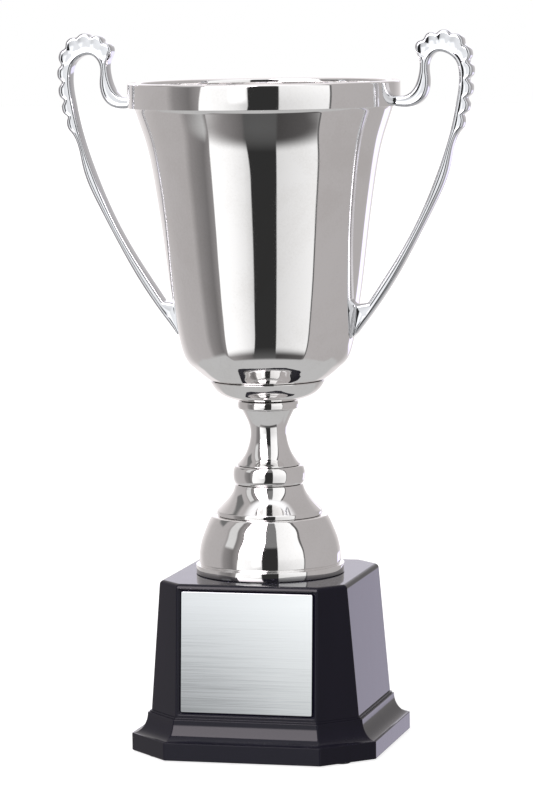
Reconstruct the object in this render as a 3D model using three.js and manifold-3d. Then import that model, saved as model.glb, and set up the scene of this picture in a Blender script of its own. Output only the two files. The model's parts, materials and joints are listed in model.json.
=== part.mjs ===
// A two-handled presentation cup on a moulded plinth, as an assembly clamped on one tie rod.
// Millimetres, +Z up. The origin is the centre of the footprint, on the surface it stands on.
// The engraving plate faces -Y and the handles reach out along +X and -X.
import * as THREE from "three";
import { mergeVertices } from "three/addons/utils/BufferGeometryUtils.js";
import Module from "manifold-3d";

const wasm = await Module();
wasm.setup();

// ---- Driving dimensions ----------------------------------------------------------------------

const GAP = 0.3; // between two pieces that touch
const TURNS = 36; // sides of a large round piece
const SMALL_TURNS = 20; // sides of a small round piece
const EDGE = 0.4; // small cut that breaks a sharp edge

// Plinth: a square with cut corners, wide slab below, leaning pillar above.
const PLINTH_HEIGHT = 102.9;
const SLAB_HALF = 75;
const SLAB_FACE_HALF = 47.5; // half the width of one flat face
const SLAB_HEIGHT = 10.5;
const PILLAR_FOOT_HALF = 63.7;
const PILLAR_TOP_HALF = 57.3;
const PILLAR_FACE_HALF = 42.9;
const PILLAR_BASE_HEIGHT = 25;
const COVE_TOP_HALF = 66;
const COVE_TOP_HEIGHT = 22.9;
const PLINTH_EDGE_RADIUS = 2.8; // round the pillar's top edge
const PLINTH_WALL = 3.5;
const BOSS_RADIUS = 9;
const BOSS_DEPTH = 12;
const RIB_THICKNESS = 2.5;
const RIB_DEPTH = 8;

// Engraving plate, its sticky pad and the moulded recess that frames it.
const PLATE_WIDTH = 80;
const PLATE_HEIGHT = 71.6;
const PLATE_THICKNESS = 0.7;
const PLATE_FIT = 0.1;
const PAD_MARGIN = 2;
const PAD_THICKNESS = 0.3;
const RECESS_BORDER = 1.6; // width of its sloping edge
const RECESS_FOOT_HEIGHT = 27.2; // the plate's lower edge, above the slab's underside

// Rubber feet in shallow pockets.
const RUBBER_RADIUS = 6;
const RUBBER_PROUD = 1;
const RUBBER_SUNK = 0.8; // depth of its pocket
const RUBBER_EDGE = 0.8;

// Clamped stack, from the plinth up.
const FOOT_RADIUS = 42.7;
const FOOT_LIP_RADIUS = 44.8;
const FOOT_LIP_HEIGHT = 5.3;
const FOOT_BAND_HEIGHT = 12.4; // top of the straight band
const FOOT_SHOULDER_RADIUS = 34.7;
const FOOT_HEIGHT = 34.7;
const FOOT_WALL = 2.5;
const FOOT_GROOVE = 0.8; // height of the line between the lip and the band
const SKIRT_RADIUS = 31.6;
const SKIRT_BAND = 2.4;
const SKIRT_NECK_RADIUS = 20.3;
const SKIRT_HEIGHT = 18.3;
const KNOP_RADIUS = 21.6;
const KNOP_END_RADIUS = 19.6;
const KNOP_HEIGHT = 11.1;
const STEM_FOOT_RADIUS = 19;
const STEM_WAIST_RADIUS = 10.8;
const STEM_TOP_RADIUS = 15.9;
const STEM_HEIGHT = 33.9;
const COLLAR_RADIUS = 18.2;
const COLLAR_HEIGHT = 4.6;
const SAUCER_FOOT_RADIUS = 17.2;
const SAUCER_RADIUS = 34.4;
const SAUCER_FLOOR = 6;
const SAUCER_LIP = 0.6; // width of its rim
const COLLAR_BULGE = 0.6;

// Bowl, rim band and handles.
const BOWL_RADIUS = 77.4; // just under the rim band
const BOWL_HEIGHT = 169.9; // from its base to the rim band's lower edge
const BOWL_WALL = 1.1;
const BAND_HEIGHT = 15;
const BAND_STEP = 4.1; // how far the band stands out from the bowl
const BAND_ROOF = 1.3; // the rounded top that closes over the bowl's lip
const BAND_INNER_WALL = 1.2;
const BAND_INNER_DEPTH = 5.5;
const LIP_STEP = 0.5; // the bowl's lip behind the band, beyond the bowl
const HANDLE_REACH = 46; // beyond the rim band
const HANDLE_CREST = 44.1; // above the rim band's lower edge
const HANDLE_DROP = 141; // from there down to the lower tip
const WEB_SHARE = 0.162; // of that drop, where the leg joins the bowl's wall
const HANDLE_THICKNESS = 10;
const HANDLE_EDGE = 0.9; // bevel

// Fasteners.
const ROD_RADIUS = 3;
const ROD_CLEARANCE = 0.5;
const ROD_TAIL = 5; // below the base nut
const NUT_FLATS = 10;
const NUT_HEIGHT = 5;
const CAP_NUT_HEIGHT = 5.5;
const CUP_WASHER_RADIUS = 9;
const BASE_WASHER_RADIUS = 15;
const WASHER_THICKNESS = 1.6;
const SPRING_WASHER_RADIUS = 5.6;
const SPRING_WASHER_SLIT = 0.18; // half angle in radians
const SCREW_RADIUS = 1.25;
const SCREW_HEAD_RADIUS = 2.2;
const SCREW_HEAD_HEIGHT = 1.6;
const SCREW_BITE = 4; // depth in the handle
const UPPER_SCREW_HEIGHT = 2.8; // above the rim band's lower edge

// ---- Finishes --------------------------------------------------------------------------------

const finish = (color, roughness, metalness) =>
  new THREE.MeshStandardMaterial({ color, roughness, metalness });
const PLATED = finish(0xcfcdcb, 0.06, 1);
const BLACK = finish(0x1c1c26, 0.18, 0);
const SILVER = finish(0xd8dce0, 0.35, 1);
const STEEL = finish(0x9a9c9e, 0.4, 1);
const RUBBER = finish(0x151515, 0.8, 0);
const STICKY = finish(0xe6e4dc, 0.7, 0);

// ---- Geometry helpers ------------------------------------------------------------------------

// Points on a smooth curve through [x, y] pairs.
function smooth(pairs, steps) {
  const curve = new THREE.SplineCurve(pairs.map(([x, y]) => new THREE.Vector2(x, y)));
  return curve.getPoints(steps).map((p) => [p.x, p.y]);
}

// Points on part of an ellipse: centre, two half-axes, start and end angle in quarter turns.
function arc([x, y], [a, b], start, end, steps) {
  return Array.from({ length: steps + 1 }, (_, i) => {
    const angle = ((start + ((end - start) * i) / steps) * Math.PI) / 2;
    return [x + a * Math.cos(angle), y + b * Math.sin(angle)];
  });
}

// Where a polyline of [x, y] pairs, sorted along one column, crosses a value of that column.
function lookUp(pairs, from, to, value) {
  const after = pairs.findIndex((p) => p[from] >= value);
  const i = Math.min(Math.max(after, 1), pairs.length - 1);
  const [p, q] = [pairs[i - 1], pairs[i]];
  return p[to] + ((q[to] - p[to]) * (value - p[from])) / (q[from] - p[from]);
}

// A closed [radius, height] profile turned about Z.
function lathe(profile, turns = TURNS) {
  const points = profile.map(([r, z]) => new THREE.Vector2(r, z));
  if (THREE.ShapeUtils.area(points) < 0) points.reverse();
  const onAxis = points.filter((p) => p.x === 0).length;
  if (onAxis === 0) points.push(points[0].clone());
  while (onAxis > 0 && !(points[0].x === 0 && points.at(-1).x === 0)) points.push(points.shift());
  return new THREE.LatheGeometry(points, turns).rotateX(Math.PI / 2);
}

// A round bar along Z between two heights.
function bar(radius, low, high, turns = SMALL_TURNS) {
  return lathe([[0, low], [radius, low], [radius, high], [0, high]], turns);
}

// A ring about Z with a bore that clears the tie rod.
function washer(radius, thickness) {
  const bore = ROD_RADIUS + GAP;
  return lathe([[bore, 0], [radius, 0], [radius, thickness], [bore, thickness]], SMALL_TURNS);
}

// A solid through rings of points, each ring anticlockwise seen from its far end.
function loft(rings) {
  const count = rings[0].length;
  const faces = [];
  for (let k = 1; k < count - 1; k++) {
    const last = (rings.length - 1) * count;
    faces.push(0, k + 1, k, last, last + k, last + k + 1);
  }
  for (let level = 0; level + 1 < rings.length; level++) {
    for (let k = 0; k < count; k++) {
      const [a, b] = [level * count + k, level * count + ((k + 1) % count)];
      faces.push(a, b, b + count, a, b + count, a + count);
    }
  }
  const geometry = new THREE.BufferGeometry();
  geometry.setAttribute("position", new THREE.Float32BufferAttribute(rings.flat(2), 3));
  return geometry.setIndex(faces);
}

function solid(geometry) {
  const bare = geometry.clone();
  bare.deleteAttribute("normal");
  bare.deleteAttribute("uv");
  const merged = mergeVertices(bare, 1e-3);
  const mesh = new wasm.Mesh({
    numProp: 3,
    vertProperties: merged.attributes.position.array,
    triVerts: new Uint32Array(merged.index.array),
  });
  return new wasm.Manifold(mesh);
}

// The first geometry with others joined to it and then more cut from it.
function carve(base, joined, cut) {
  let body = solid(base);
  for (const piece of joined) body = body.add(solid(piece));
  for (const piece of cut) body = body.subtract(solid(piece));
  const mesh = body.getMesh();
  const geometry = new THREE.BufferGeometry();
  geometry.setAttribute("position", new THREE.Float32BufferAttribute(mesh.vertProperties, 3));
  geometry.setIndex([...mesh.triVerts]);
  const flat = geometry.toNonIndexed();
  flat.computeVertexNormals();
  return flat;
}

const trophy = new THREE.Group();

function add(parent, name, geometry, material, height = 0) {
  const mesh = new THREE.Mesh(geometry, material.clone());
  mesh.name = name;
  mesh.position.z = height;
  parent.add(mesh);
  return mesh;
}

function group(parent, height) {
  const made = new THREE.Group();
  made.position.z = height;
  parent.add(made);
  return made;
}

// ---- Plinth ----------------------------------------------------------------------------------

// The eight corners of a square with cut corners.
function octagon(half, face, z) {
  const corners = [[half, -face], [half, face], [face, half], [-face, half]];
  return [...corners, ...corners.map(([x, y]) => [-x, -y])].map(([x, y]) => [x, y, z]);
}

// The same octagon drawn in by an even margin.
function inset(half, face, margin, z) {
  return octagon(half - margin, face - margin * (Math.SQRT2 - 1), z);
}

const pillarSlope =
  (PILLAR_FOOT_HALF - PILLAR_TOP_HALF) / (PLINTH_HEIGHT - PILLAR_BASE_HEIGHT);
const pillarHalf = (z) => PILLAR_FOOT_HALF - pillarSlope * (z - PILLAR_BASE_HEIGHT);

// Half the flat face's width, which widens from the pillar down to the slab.
function faceHalf(half) {
  const share = (half - PILLAR_FOOT_HALF) / (SLAB_HALF - PILLAR_FOOT_HALF);
  return PILLAR_FACE_HALF + (SLAB_FACE_HALF - PILLAR_FACE_HALF) * Math.max(share, 0);
}

function plinthRings() {
  const stepHalf = (COVE_TOP_HALF + PILLAR_FOOT_HALF) / 2;
  const stepHeight = (COVE_TOP_HEIGHT + PILLAR_BASE_HEIGHT) / 2;
  const coveReach = SLAB_HALF - EDGE - COVE_TOP_HALF;
  const coveHeight = COVE_TOP_HEIGHT - SLAB_HEIGHT;
  const coveCentre = [SLAB_HALF - EDGE, COVE_TOP_HEIGHT];
  const moulding = [
    [SLAB_HALF, 0],
    [SLAB_HALF, SLAB_HEIGHT - EDGE],
    ...arc(coveCentre, [coveReach, coveHeight], 3, 2, 6),
    [stepHalf, COVE_TOP_HEIGHT],
    [stepHalf, stepHeight],
    [PILLAR_FOOT_HALF, stepHeight],
    [PILLAR_FOOT_HALF, PILLAR_BASE_HEIGHT],
  ];
  const rings = moulding.map(([half, z]) => octagon(half, faceHalf(half), z));
  const radius = PLINTH_EDGE_RADIUS;
  for (const [inward, down] of arc([radius, radius], [radius, radius], 2, 3, 3)) {
    const z = PLINTH_HEIGHT - down;
    rings.push(inset(pillarHalf(z), PILLAR_FACE_HALF, inward, z));
  }
  return rings;
}

const hollowTop = PLINTH_HEIGHT - PLINTH_WALL;
const bossEnd = hollowTop - BOSS_DEPTH;

function plinthHollow() {
  const base = inset(PILLAR_FOOT_HALF, PILLAR_FACE_HALF, PLINTH_WALL, PILLAR_BASE_HEIGHT);
  const below = base.map(([x, y]) => [x, y, -1]);
  const top = inset(pillarHalf(hollowTop), PILLAR_FACE_HALF, PLINTH_WALL, hollowTop);
  return loft([below, base, top]);
}

// Cross ribs under the top, between the central boss and the walls.
function ribs() {
  const length = 2 * (pillarHalf(hollowTop) - PLINTH_WALL / 2);
  const height = RIB_DEPTH + PLINTH_WALL / 2;
  const z = hollowTop - RIB_DEPTH + height / 2;
  return [
    new THREE.BoxGeometry(length, RIB_THICKNESS, height).translate(0, 0, z),
    new THREE.BoxGeometry(RIB_THICKNESS, length, height).translate(0, 0, z),
  ];
}

// The front face leans back, so the recess, pad and plate are drawn flat and then leant with it.
const lean = Math.atan(pillarSlope);
const plateCentreHeight = RECESS_FOOT_HEIGHT + PLATE_HEIGHT / 2;
const recessDepth = 3 * PLATE_FIT + PAD_THICKNESS + PLATE_THICKNESS;

function ontoFace(geometry) {
  return geometry
    .rotateX(Math.PI / 2 - lean)
    .translate(0, -pillarHalf(plateCentreHeight), plateCentreHeight);
}

function rectangle(halfWidth, halfHeight, z) {
  const corners = [[-1, -1], [1, -1], [1, 1], [-1, 1]];
  return corners.map(([x, y]) => [x * halfWidth, y * halfHeight, z]);
}

function recess() {
  const width = PLATE_WIDTH / 2 + GAP;
  const height = PLATE_HEIGHT / 2 + GAP;
  const flare = RECESS_BORDER * 2; // it starts as far below the face as it ends above it
  return loft([
    rectangle(width, height, -recessDepth),
    rectangle(width + flare, height + flare, recessDepth),
  ]);
}

const rubberPlaces = [[1, 1], [-1, 1], [-1, -1], [1, -1]].map(([x, y]) => {
  const outer = (SLAB_HALF + SLAB_FACE_HALF) / 2;
  const hollow = (PILLAR_FOOT_HALF + PILLAR_FACE_HALF) / 2 - PLINTH_WALL / Math.SQRT2;
  const place = (outer + hollow) / 2;
  return [x * place, y * place];
});

const base = group(trophy, RUBBER_PROUD);

function makePlinth() {
  const rodBore = bar(ROD_RADIUS + ROD_CLEARANCE, 0, PLINTH_HEIGHT + 1);
  const pockets = rubberPlaces.map(([x, y]) =>
    bar(RUBBER_RADIUS + GAP, -1, RUBBER_SUNK).translate(x, y, 0),
  );
  const shell = carve(loft(plinthRings()), [], [plinthHollow()]);
  const boss = bar(BOSS_RADIUS, bossEnd, hollowTop + 1);
  const cuts = [rodBore, ontoFace(recess()), ...pockets];
  add(base, "plinth", carve(shell, [boss, ...ribs()], cuts), BLACK);
  const foot = lathe([
    [0, -RUBBER_PROUD],
    [RUBBER_RADIUS - RUBBER_EDGE, -RUBBER_PROUD],
    [RUBBER_RADIUS, -RUBBER_PROUD + RUBBER_EDGE],
    [RUBBER_RADIUS, RUBBER_SUNK - GAP],
    [0, RUBBER_SUNK - GAP],
  ], SMALL_TURNS);
  rubberPlaces.forEach(([x, y], i) => {
    add(base, `rubber_foot_${i + 1}`, foot.clone().translate(x, y, 0), RUBBER);
  });
}

function makePlate() {
  const padFloor = PLATE_FIT - recessDepth;
  const plateFloor = padFloor + PAD_THICKNESS + PLATE_FIT;
  const pad = new THREE.BoxGeometry(
    PLATE_WIDTH - 2 * PAD_MARGIN, PLATE_HEIGHT - 2 * PAD_MARGIN, PAD_THICKNESS,
  ).translate(0, 0, padFloor + PAD_THICKNESS / 2);
  const plate = new THREE.BoxGeometry(PLATE_WIDTH, PLATE_HEIGHT, PLATE_THICKNESS)
    .translate(0, 0, plateFloor + PLATE_THICKNESS / 2);
  add(base, "plate_adhesive_pad", ontoFace(pad), STICKY);
  add(base, "engraving_plate", ontoFace(plate), SILVER);
}

// ---- Turned pieces on the tie rod ------------------------------------------------------------

const bore = ROD_RADIUS + ROD_CLEARANCE;

function footProfile() {
  const crown = FOOT_HEIGHT - FOOT_BAND_HEIGHT;
  const domeRadius = FOOT_RADIUS - EDGE / 2;
  const spread = domeRadius - FOOT_SHOULDER_RADIUS;
  const dome = [
    [domeRadius, FOOT_BAND_HEIGHT],
    [FOOT_SHOULDER_RADIUS + spread * 0.81, FOOT_BAND_HEIGHT + crown * 0.33],
    [FOOT_SHOULDER_RADIUS + spread * 0.48, FOOT_BAND_HEIGHT + crown * 0.64],
    [FOOT_SHOULDER_RADIUS + spread * 0.19, FOOT_HEIGHT - crown * 0.1],
    [FOOT_SHOULDER_RADIUS, FOOT_HEIGHT - EDGE],
    [FOOT_SHOULDER_RADIUS - 2 * EDGE, FOOT_HEIGHT],
  ];
  const inside = dome.slice(0, 4).map(([r, z]) => [r - FOOT_WALL, z - FOOT_WALL * 0.4]);
  return [
    [FOOT_RADIUS - FOOT_WALL, 0],
    [FOOT_LIP_RADIUS - EDGE, 0],
    [FOOT_LIP_RADIUS, EDGE],
    [FOOT_LIP_RADIUS, FOOT_LIP_HEIGHT - EDGE],
    [FOOT_LIP_RADIUS - EDGE, FOOT_LIP_HEIGHT],
    [FOOT_RADIUS - EDGE, FOOT_LIP_HEIGHT],
    [FOOT_RADIUS - EDGE, FOOT_LIP_HEIGHT + FOOT_GROOVE],
    [FOOT_RADIUS, FOOT_LIP_HEIGHT + FOOT_GROOVE + EDGE],
    ...smooth(dome, 6),
    [bore, FOOT_HEIGHT],
    [bore, FOOT_HEIGHT - FOOT_WALL * 1.6],
    ...inside.reverse(),
  ];
}

function skirtProfile() {
  const rise = SKIRT_HEIGHT - SKIRT_BAND;
  const spread = SKIRT_RADIUS - SKIRT_NECK_RADIUS;
  const flare = smooth([
    [SKIRT_RADIUS, SKIRT_BAND],
    [SKIRT_NECK_RADIUS + spread * 0.77, SKIRT_BAND + rise * 0.16],
    [SKIRT_NECK_RADIUS + spread * 0.41, SKIRT_BAND + rise * 0.43],
    [SKIRT_NECK_RADIUS + spread * 0.13, SKIRT_BAND + rise * 0.72],
    [SKIRT_NECK_RADIUS, SKIRT_HEIGHT],
  ], 8);
  return [[bore, 0], [SKIRT_RADIUS, 0], ...flare, [bore, SKIRT_HEIGHT]];
}

function knopProfile() {
  const bulge = KNOP_RADIUS - KNOP_END_RADIUS;
  const round = arc([KNOP_END_RADIUS, KNOP_HEIGHT / 2], [bulge, KNOP_HEIGHT / 2], -1, 1, 6);
  return [[bore, 0], ...round, [bore, KNOP_HEIGHT]];
}

function stemProfile() {
  const foot = STEM_FOOT_RADIUS - STEM_WAIST_RADIUS;
  const top = STEM_TOP_RADIUS - STEM_WAIST_RADIUS;
  const waist = smooth([
    [STEM_FOOT_RADIUS, EDGE],
    [STEM_WAIST_RADIUS + foot * 0.6, STEM_HEIGHT * 0.118],
    [STEM_WAIST_RADIUS + foot * 0.32, STEM_HEIGHT * 0.233],
    [STEM_WAIST_RADIUS + foot * 0.12, STEM_HEIGHT * 0.37],
    [STEM_WAIST_RADIUS, STEM_HEIGHT * 0.53],
    [STEM_WAIST_RADIUS + top * 0.1, STEM_HEIGHT * 0.7],
    [STEM_WAIST_RADIUS + top * 0.45, STEM_HEIGHT * 0.835],
    [STEM_TOP_RADIUS, STEM_HEIGHT],
  ], 11);
  return [[bore, 0], [STEM_FOOT_RADIUS, 0], ...waist, [bore, STEM_HEIGHT]];
}

function collarProfile() {
  const middle = COLLAR_HEIGHT / 2;
  const round = arc([COLLAR_RADIUS - COLLAR_BULGE, middle], [COLLAR_BULGE, middle], -1, 1, 4);
  return [[bore, 0], ...round, [bore, COLLAR_HEIGHT]];
}

// ---- Bowl ------------------------------------------------------------------------------------

// The bowl's outer line, from the edge of its flat base to the rim band's lower edge,
// as shares of its radius and height.
const bowlShape = [
  [0.2, 0], [0.31, 0.006], [0.41, 0.028], [0.5, 0.056], [0.571, 0.084], [0.629, 0.113],
  [0.661, 0.152], [0.698, 0.235], [0.741, 0.36], [0.8, 0.572], [0.853, 0.741],
  [0.906, 0.867], [0.964, 0.951], [1, 1],
];
const bowlCurve = smooth(bowlShape, 19);
const bowlLine = bowlCurve.map(([r, z]) => [r * BOWL_RADIUS, z * BOWL_HEIGHT]);
const bowlRadiusAt = (z) => lookUp(bowlLine, 1, 0, z);
const bowlHeightAt = (radius) => lookUp(bowlLine, 0, 1, radius);

// Behind the rim band the wall stands straight up.
const lipRadius = BOWL_RADIUS + LIP_STEP;
const bandRadius = BOWL_RADIUS + BAND_STEP;
const lipHeight = BOWL_HEIGHT + BAND_HEIGHT - BAND_ROOF - GAP;

function bowlProfile() {
  const lip = [[lipRadius, BOWL_HEIGHT + LIP_STEP], [lipRadius, lipHeight]];
  const outer = [[0, 0], ...bowlLine, ...lip];
  // Each inner point is one wall away, square to the line through its neighbours.
  const inner = outer.map(([r, z], i) => {
    const [before, after] = [outer[Math.max(i - 1, 0)], outer[Math.min(i + 1, outer.length - 1)]];
    const [dr, dz] = [after[0] - before[0], after[1] - before[1]];
    const length = Math.hypot(dr, dz);
    return [Math.max(r - (BOWL_WALL * dz) / length, 0), z + (BOWL_WALL * dr) / length];
  });
  inner[0] = [0, BOWL_WALL];
  inner[inner.length - 1] = [lipRadius - BOWL_WALL, lipHeight];
  return [...outer, ...inner.reverse()];
}

function saucerProfile() {
  // The seat follows the bowl's own line, one gap below it.
  const lip = SAUCER_RADIUS - SAUCER_LIP;
  const seat = [...bowlLine.filter(([r]) => r < lip - EDGE), [lip, bowlHeightAt(lip)]]
    .map(([r, z]) => [r, z + SAUCER_FLOOR]);
  const rim = SAUCER_FLOOR + bowlHeightAt(lip);
  const spread = SAUCER_RADIUS - SAUCER_FOOT_RADIUS;
  const dish = smooth([
    [SAUCER_FOOT_RADIUS, 0],
    [SAUCER_FOOT_RADIUS + spread * 0.27, rim * 0.12],
    [SAUCER_FOOT_RADIUS + spread * 0.67, rim * 0.39],
    [SAUCER_FOOT_RADIUS + spread * 0.87, rim * 0.72],
    [SAUCER_RADIUS, rim - EDGE / 2],
  ], 8);
  return [[bore, 0], ...dish, ...seat.reverse(), [bore, SAUCER_FLOOR]];
}

function bandProfile() {
  const outside = lipRadius + GAP;
  const inside = lipRadius - BOWL_WALL - GAP;
  const innermost = inside - BAND_INNER_WALL;
  const roof = BAND_HEIGHT - BAND_ROOF;
  const middle = (bandRadius + innermost) / 2;
  const crown = arc([middle, roof], [bandRadius - middle, BAND_ROOF], 0, 2, 6);
  return [
    [outside, 0],
    [bandRadius - EDGE, 0],
    [bandRadius, EDGE],
    ...crown,
    [innermost, BAND_HEIGHT - BAND_INNER_DEPTH],
    [inside, BAND_HEIGHT - BAND_INNER_DEPTH],
    [inside, roof],
    [outside, roof],
  ];
}

// ---- Handles ---------------------------------------------------------------------------------

// The handle is drawn for these sizes and stretched to the driving ones.
// x is measured out from the rim band and y up from the band's lower edge.
const DRAWN = {
  bandRadius: 81.5, reach: 46, crest: 44.1, drop: 141, bowlRadius: 77.4, bowlHeight: 169.9,
};

// How far the bowl's wall lies in from the rim band, as drawn and as built.
function drawnWallIn(y) {
  const wall = DRAWN.bowlRadius * lookUp(bowlCurve, 1, 0, 1 + y / DRAWN.bowlHeight);
  return DRAWN.bandRadius - wall;
}
const wallIn = (z) => bandRadius - bowlRadiusAt(z);

// The leg leans with the wall: not at all by the band, and fully where it joins the wall.
function stretched([x, y]) {
  const wide = x > 0 ? HANDLE_REACH / DRAWN.reach : 1;
  const high = y > 0 ? HANDLE_CREST / DRAWN.crest : HANDLE_DROP / DRAWN.drop;
  const z = BOWL_HEIGHT + y * high;
  const share = Math.min(Math.max(-y, 0) / (DRAWN.drop * (1 - WEB_SHARE)), 1);
  const lean = share > 0 ? share * (drawnWallIn(y) - wallIn(z)) : 0;
  return [bandRadius + x * wide + lean, z];
}

// The edge that faces the bowl, from the rim band round the crook and down the leg.
const crookInside = [
  [GAP, 0], [9.6, -0.2], [15.2, 3.4], [18.4, 9.5], [18.9, 16], [18.5, 22.5], [19.8, 27.2],
  [24.5, 31.7], [31, 30.8], [36.6, 25.4], [37.8, 19.5], [36.1, 3.5], [31.9, -15.7],
  [24.6, -38.2], [15, -61.5], [1.7, -86.5], [-7.5, -100.8], [-18.4, -117],
];
// The outer edge of the leg, up from just above the lower tip.
const legOutside = [
  [-25.3, -135], [-16.3, -123.3], [-1.6, -101.6], [10.6, -80], [22.1, -58.2], [31, -36.5],
  [38.3, -14.7],
];
// The valleys between the scallops, up the outside and over the crest, and how far the scallop
// that ends in each one bulges.
const valleys = [
  [39.7, -5.6], [41.9, 4.1], [43, 15.1], [43.2, 25.7], [40.6, 35.7], [33.6, 41.7],
  [24.3, 41.9], [17, 38.9], [13.8, 29.7],
];
const bulges = [1.3, 2.5, 2.9, 2.9, 2.9, 2.4, 2.2, 1.9, 2.2];
// The outer edge of the crook, from the last scallop back to the rim band.
const crookOutside = [
  [13.8, 29.7], [14.9, 26.5], [14.6, 20.5], [12.9, 14], [10.4, 9.2], [5.7, 6.1], [GAP, 5.6],
];

// One scallop without its last point: an arc between valleys, bulging to the right of its way.
function scallop([x0, y0], [x1, y1], bulge) {
  const half = Math.hypot(x1 - x0, y1 - y0) / 2;
  const radius = (half * half + bulge * bulge) / (2 * bulge);
  const along = Math.atan2(y1 - y0, x1 - x0);
  const sweep = Math.asin(half / radius);
  const back = radius - bulge;
  const centre = [
    (x0 + x1) / 2 - back * Math.sin(along),
    (y0 + y1) / 2 + back * Math.cos(along),
  ];
  return [0, 1, 2, 3].map((i) => {
    const angle = along - Math.PI / 2 + (i / 2 - 1) * sweep;
    return [centre[0] + radius * Math.cos(angle), centre[1] + radius * Math.sin(angle)];
  });
}

const tipHeight = BOWL_HEIGHT - HANDLE_DROP;
const webHeight = tipHeight + HANDLE_DROP * WEB_SHARE;

function handleOutline() {
  // The foot follows the bowl's wall, one gap away.
  const foot = [1, 0.75, 0.5, 0.25, 0].map((share) => {
    const z = tipHeight + (webHeight - tipHeight) * share;
    return [bowlRadiusAt(z) + GAP, z];
  });
  const scallops = valleys.flatMap((end, i) =>
    scallop(i === 0 ? legOutside.at(-1) : valleys[i - 1], end, bulges[i]),
  );
  return [
    ...smooth(crookInside, 34).map(stretched),
    ...foot,
    ...smooth(legOutside, 9).slice(0, -1).map(stretched),
    ...scallops.map(stretched),
    ...smooth(crookOutside, 10).map(stretched),
  ];
}

// Where the two screws of a handle pass the bowl's wall: radius, height, the wall's slope
// there, and how far the handle stands from the wall.
const lowerScrewHeight = (tipHeight + webHeight) / 2 + SCREW_RADIUS * 2;
const lowerScrewRise = bowlRadiusAt(lowerScrewHeight + 1) - bowlRadiusAt(lowerScrewHeight - 1);
const screwPlaces = [
  {
    end: "upper",
    radius: lipRadius,
    z: BOWL_HEIGHT + UPPER_SCREW_HEIGHT,
    slope: 0,
    stand: bandRadius - lipRadius + GAP,
  },
  {
    end: "lower",
    radius: bowlRadiusAt(lowerScrewHeight),
    z: lowerScrewHeight,
    slope: Math.atan(lowerScrewRise / 2),
    stand: GAP,
  },
];

// Turns a piece drawn about Z, with the wall's outside at z = 0, to point out through the wall.
function throughWall(geometry, { radius, z, slope }) {
  return geometry.rotateY(Math.PI / 2 + slope).translate(radius, 0, z);
}

function screwHole(place) {
  const end = place.stand + SCREW_BITE + GAP;
  return throughWall(bar(SCREW_RADIUS + GAP, -2 * BOWL_WALL, end), place);
}

function screw(place) {
  const under = -BOWL_WALL - GAP;
  const top = under - SCREW_HEAD_HEIGHT;
  const end = place.stand + SCREW_BITE;
  return throughWall(lathe([
    [0, top],
    [SCREW_HEAD_RADIUS * 0.6, top],
    [SCREW_HEAD_RADIUS, top + SCREW_HEAD_HEIGHT / 2],
    [SCREW_HEAD_RADIUS, under],
    [SCREW_RADIUS, under],
    [SCREW_RADIUS, end],
    [0, end],
  ], SMALL_TURNS), place);
}

function handle() {
  const shape = new THREE.Shape(handleOutline().map(([x, y]) => new THREE.Vector2(x, y)));
  const body = new THREE.ExtrudeGeometry(shape, {
    depth: HANDLE_THICKNESS - 2 * HANDLE_EDGE,
    bevelThickness: HANDLE_EDGE,
    bevelSize: HANDLE_EDGE,
    bevelOffset: -HANDLE_EDGE,
    bevelSegments: 1,
  });
  body.translate(0, 0, HANDLE_EDGE - HANDLE_THICKNESS / 2).rotateX(Math.PI / 2);
  return carve(body, [], screwPlaces.map(screwHole));
}

// Everything above stands on the plinth, one gap above the piece below it.
const footSeat = PLINTH_HEIGHT + GAP;
const skirtSeat = footSeat + FOOT_HEIGHT + GAP;
const knopSeat = skirtSeat + SKIRT_HEIGHT + GAP;
const stemSeat = knopSeat + KNOP_HEIGHT + GAP;
const collarSeat = stemSeat + STEM_HEIGHT + GAP;
const saucerSeat = collarSeat + COLLAR_HEIGHT + GAP;
const bowlSeat = saucerSeat + SAUCER_FLOOR + GAP;

function makePedestal() {
  add(base, "foot", lathe(footProfile()), PLATED, footSeat);
  add(base, "stem_skirt", lathe(skirtProfile()), PLATED, skirtSeat);
  add(base, "knop_ring", lathe(knopProfile()), PLATED, knopSeat);
  add(base, "stem", lathe(stemProfile()), PLATED, stemSeat);
  add(base, "collar_disc", lathe(collarProfile()), PLATED, collarSeat);
  add(base, "cup_saucer", lathe(saucerProfile()), PLATED, saucerSeat);
}

function makeCup() {
  const cup = group(base, bowlSeat);
  const sides = [{ side: "right", turn: 0 }, { side: "left", turn: Math.PI }];
  const holes = sides.flatMap(({ turn }) =>
    screwPlaces.map((place) => screwHole(place).rotateZ(turn)),
  );
  const rodHole = bar(bore, -1, BOWL_WALL + 1);
  add(cup, "cup_body", carve(lathe(bowlProfile()), [], [rodHole, ...holes]), PLATED);
  const band = lathe(bandProfile()).translate(0, 0, BOWL_HEIGHT);
  add(cup, "rim_band", carve(band, [], holes), PLATED);
  for (const { side, turn } of sides) {
    add(cup, `handle_${side}`, handle().rotateZ(turn), PLATED);
    for (const place of screwPlaces) {
      const name = `handle_screw_${side}_${place.end}`;
      add(cup, name, screw(place).rotateZ(turn), STEEL);
    }
  }
}

// ---- Tie rod and its nuts --------------------------------------------------------------------

// A hexagonal bar along Z, by its width across flats.
function hexagon(flats, height) {
  const radius = flats / Math.sqrt(3);
  return new THREE.CylinderGeometry(radius, radius, height, 6)
    .rotateX(Math.PI / 2)
    .translate(0, 0, height / 2);
}

function springWasher() {
  const shape = new THREE.Shape();
  const [start, end] = [SPRING_WASHER_SLIT, 2 * Math.PI - SPRING_WASHER_SLIT];
  shape.absarc(0, 0, SPRING_WASHER_RADIUS, start, end, false);
  shape.absarc(0, 0, ROD_RADIUS + GAP, end, start, true);
  return new THREE.ExtrudeGeometry(shape, {
    depth: WASHER_THICKNESS, bevelEnabled: false, curveSegments: SMALL_TURNS / 2,
  });
}

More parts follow.
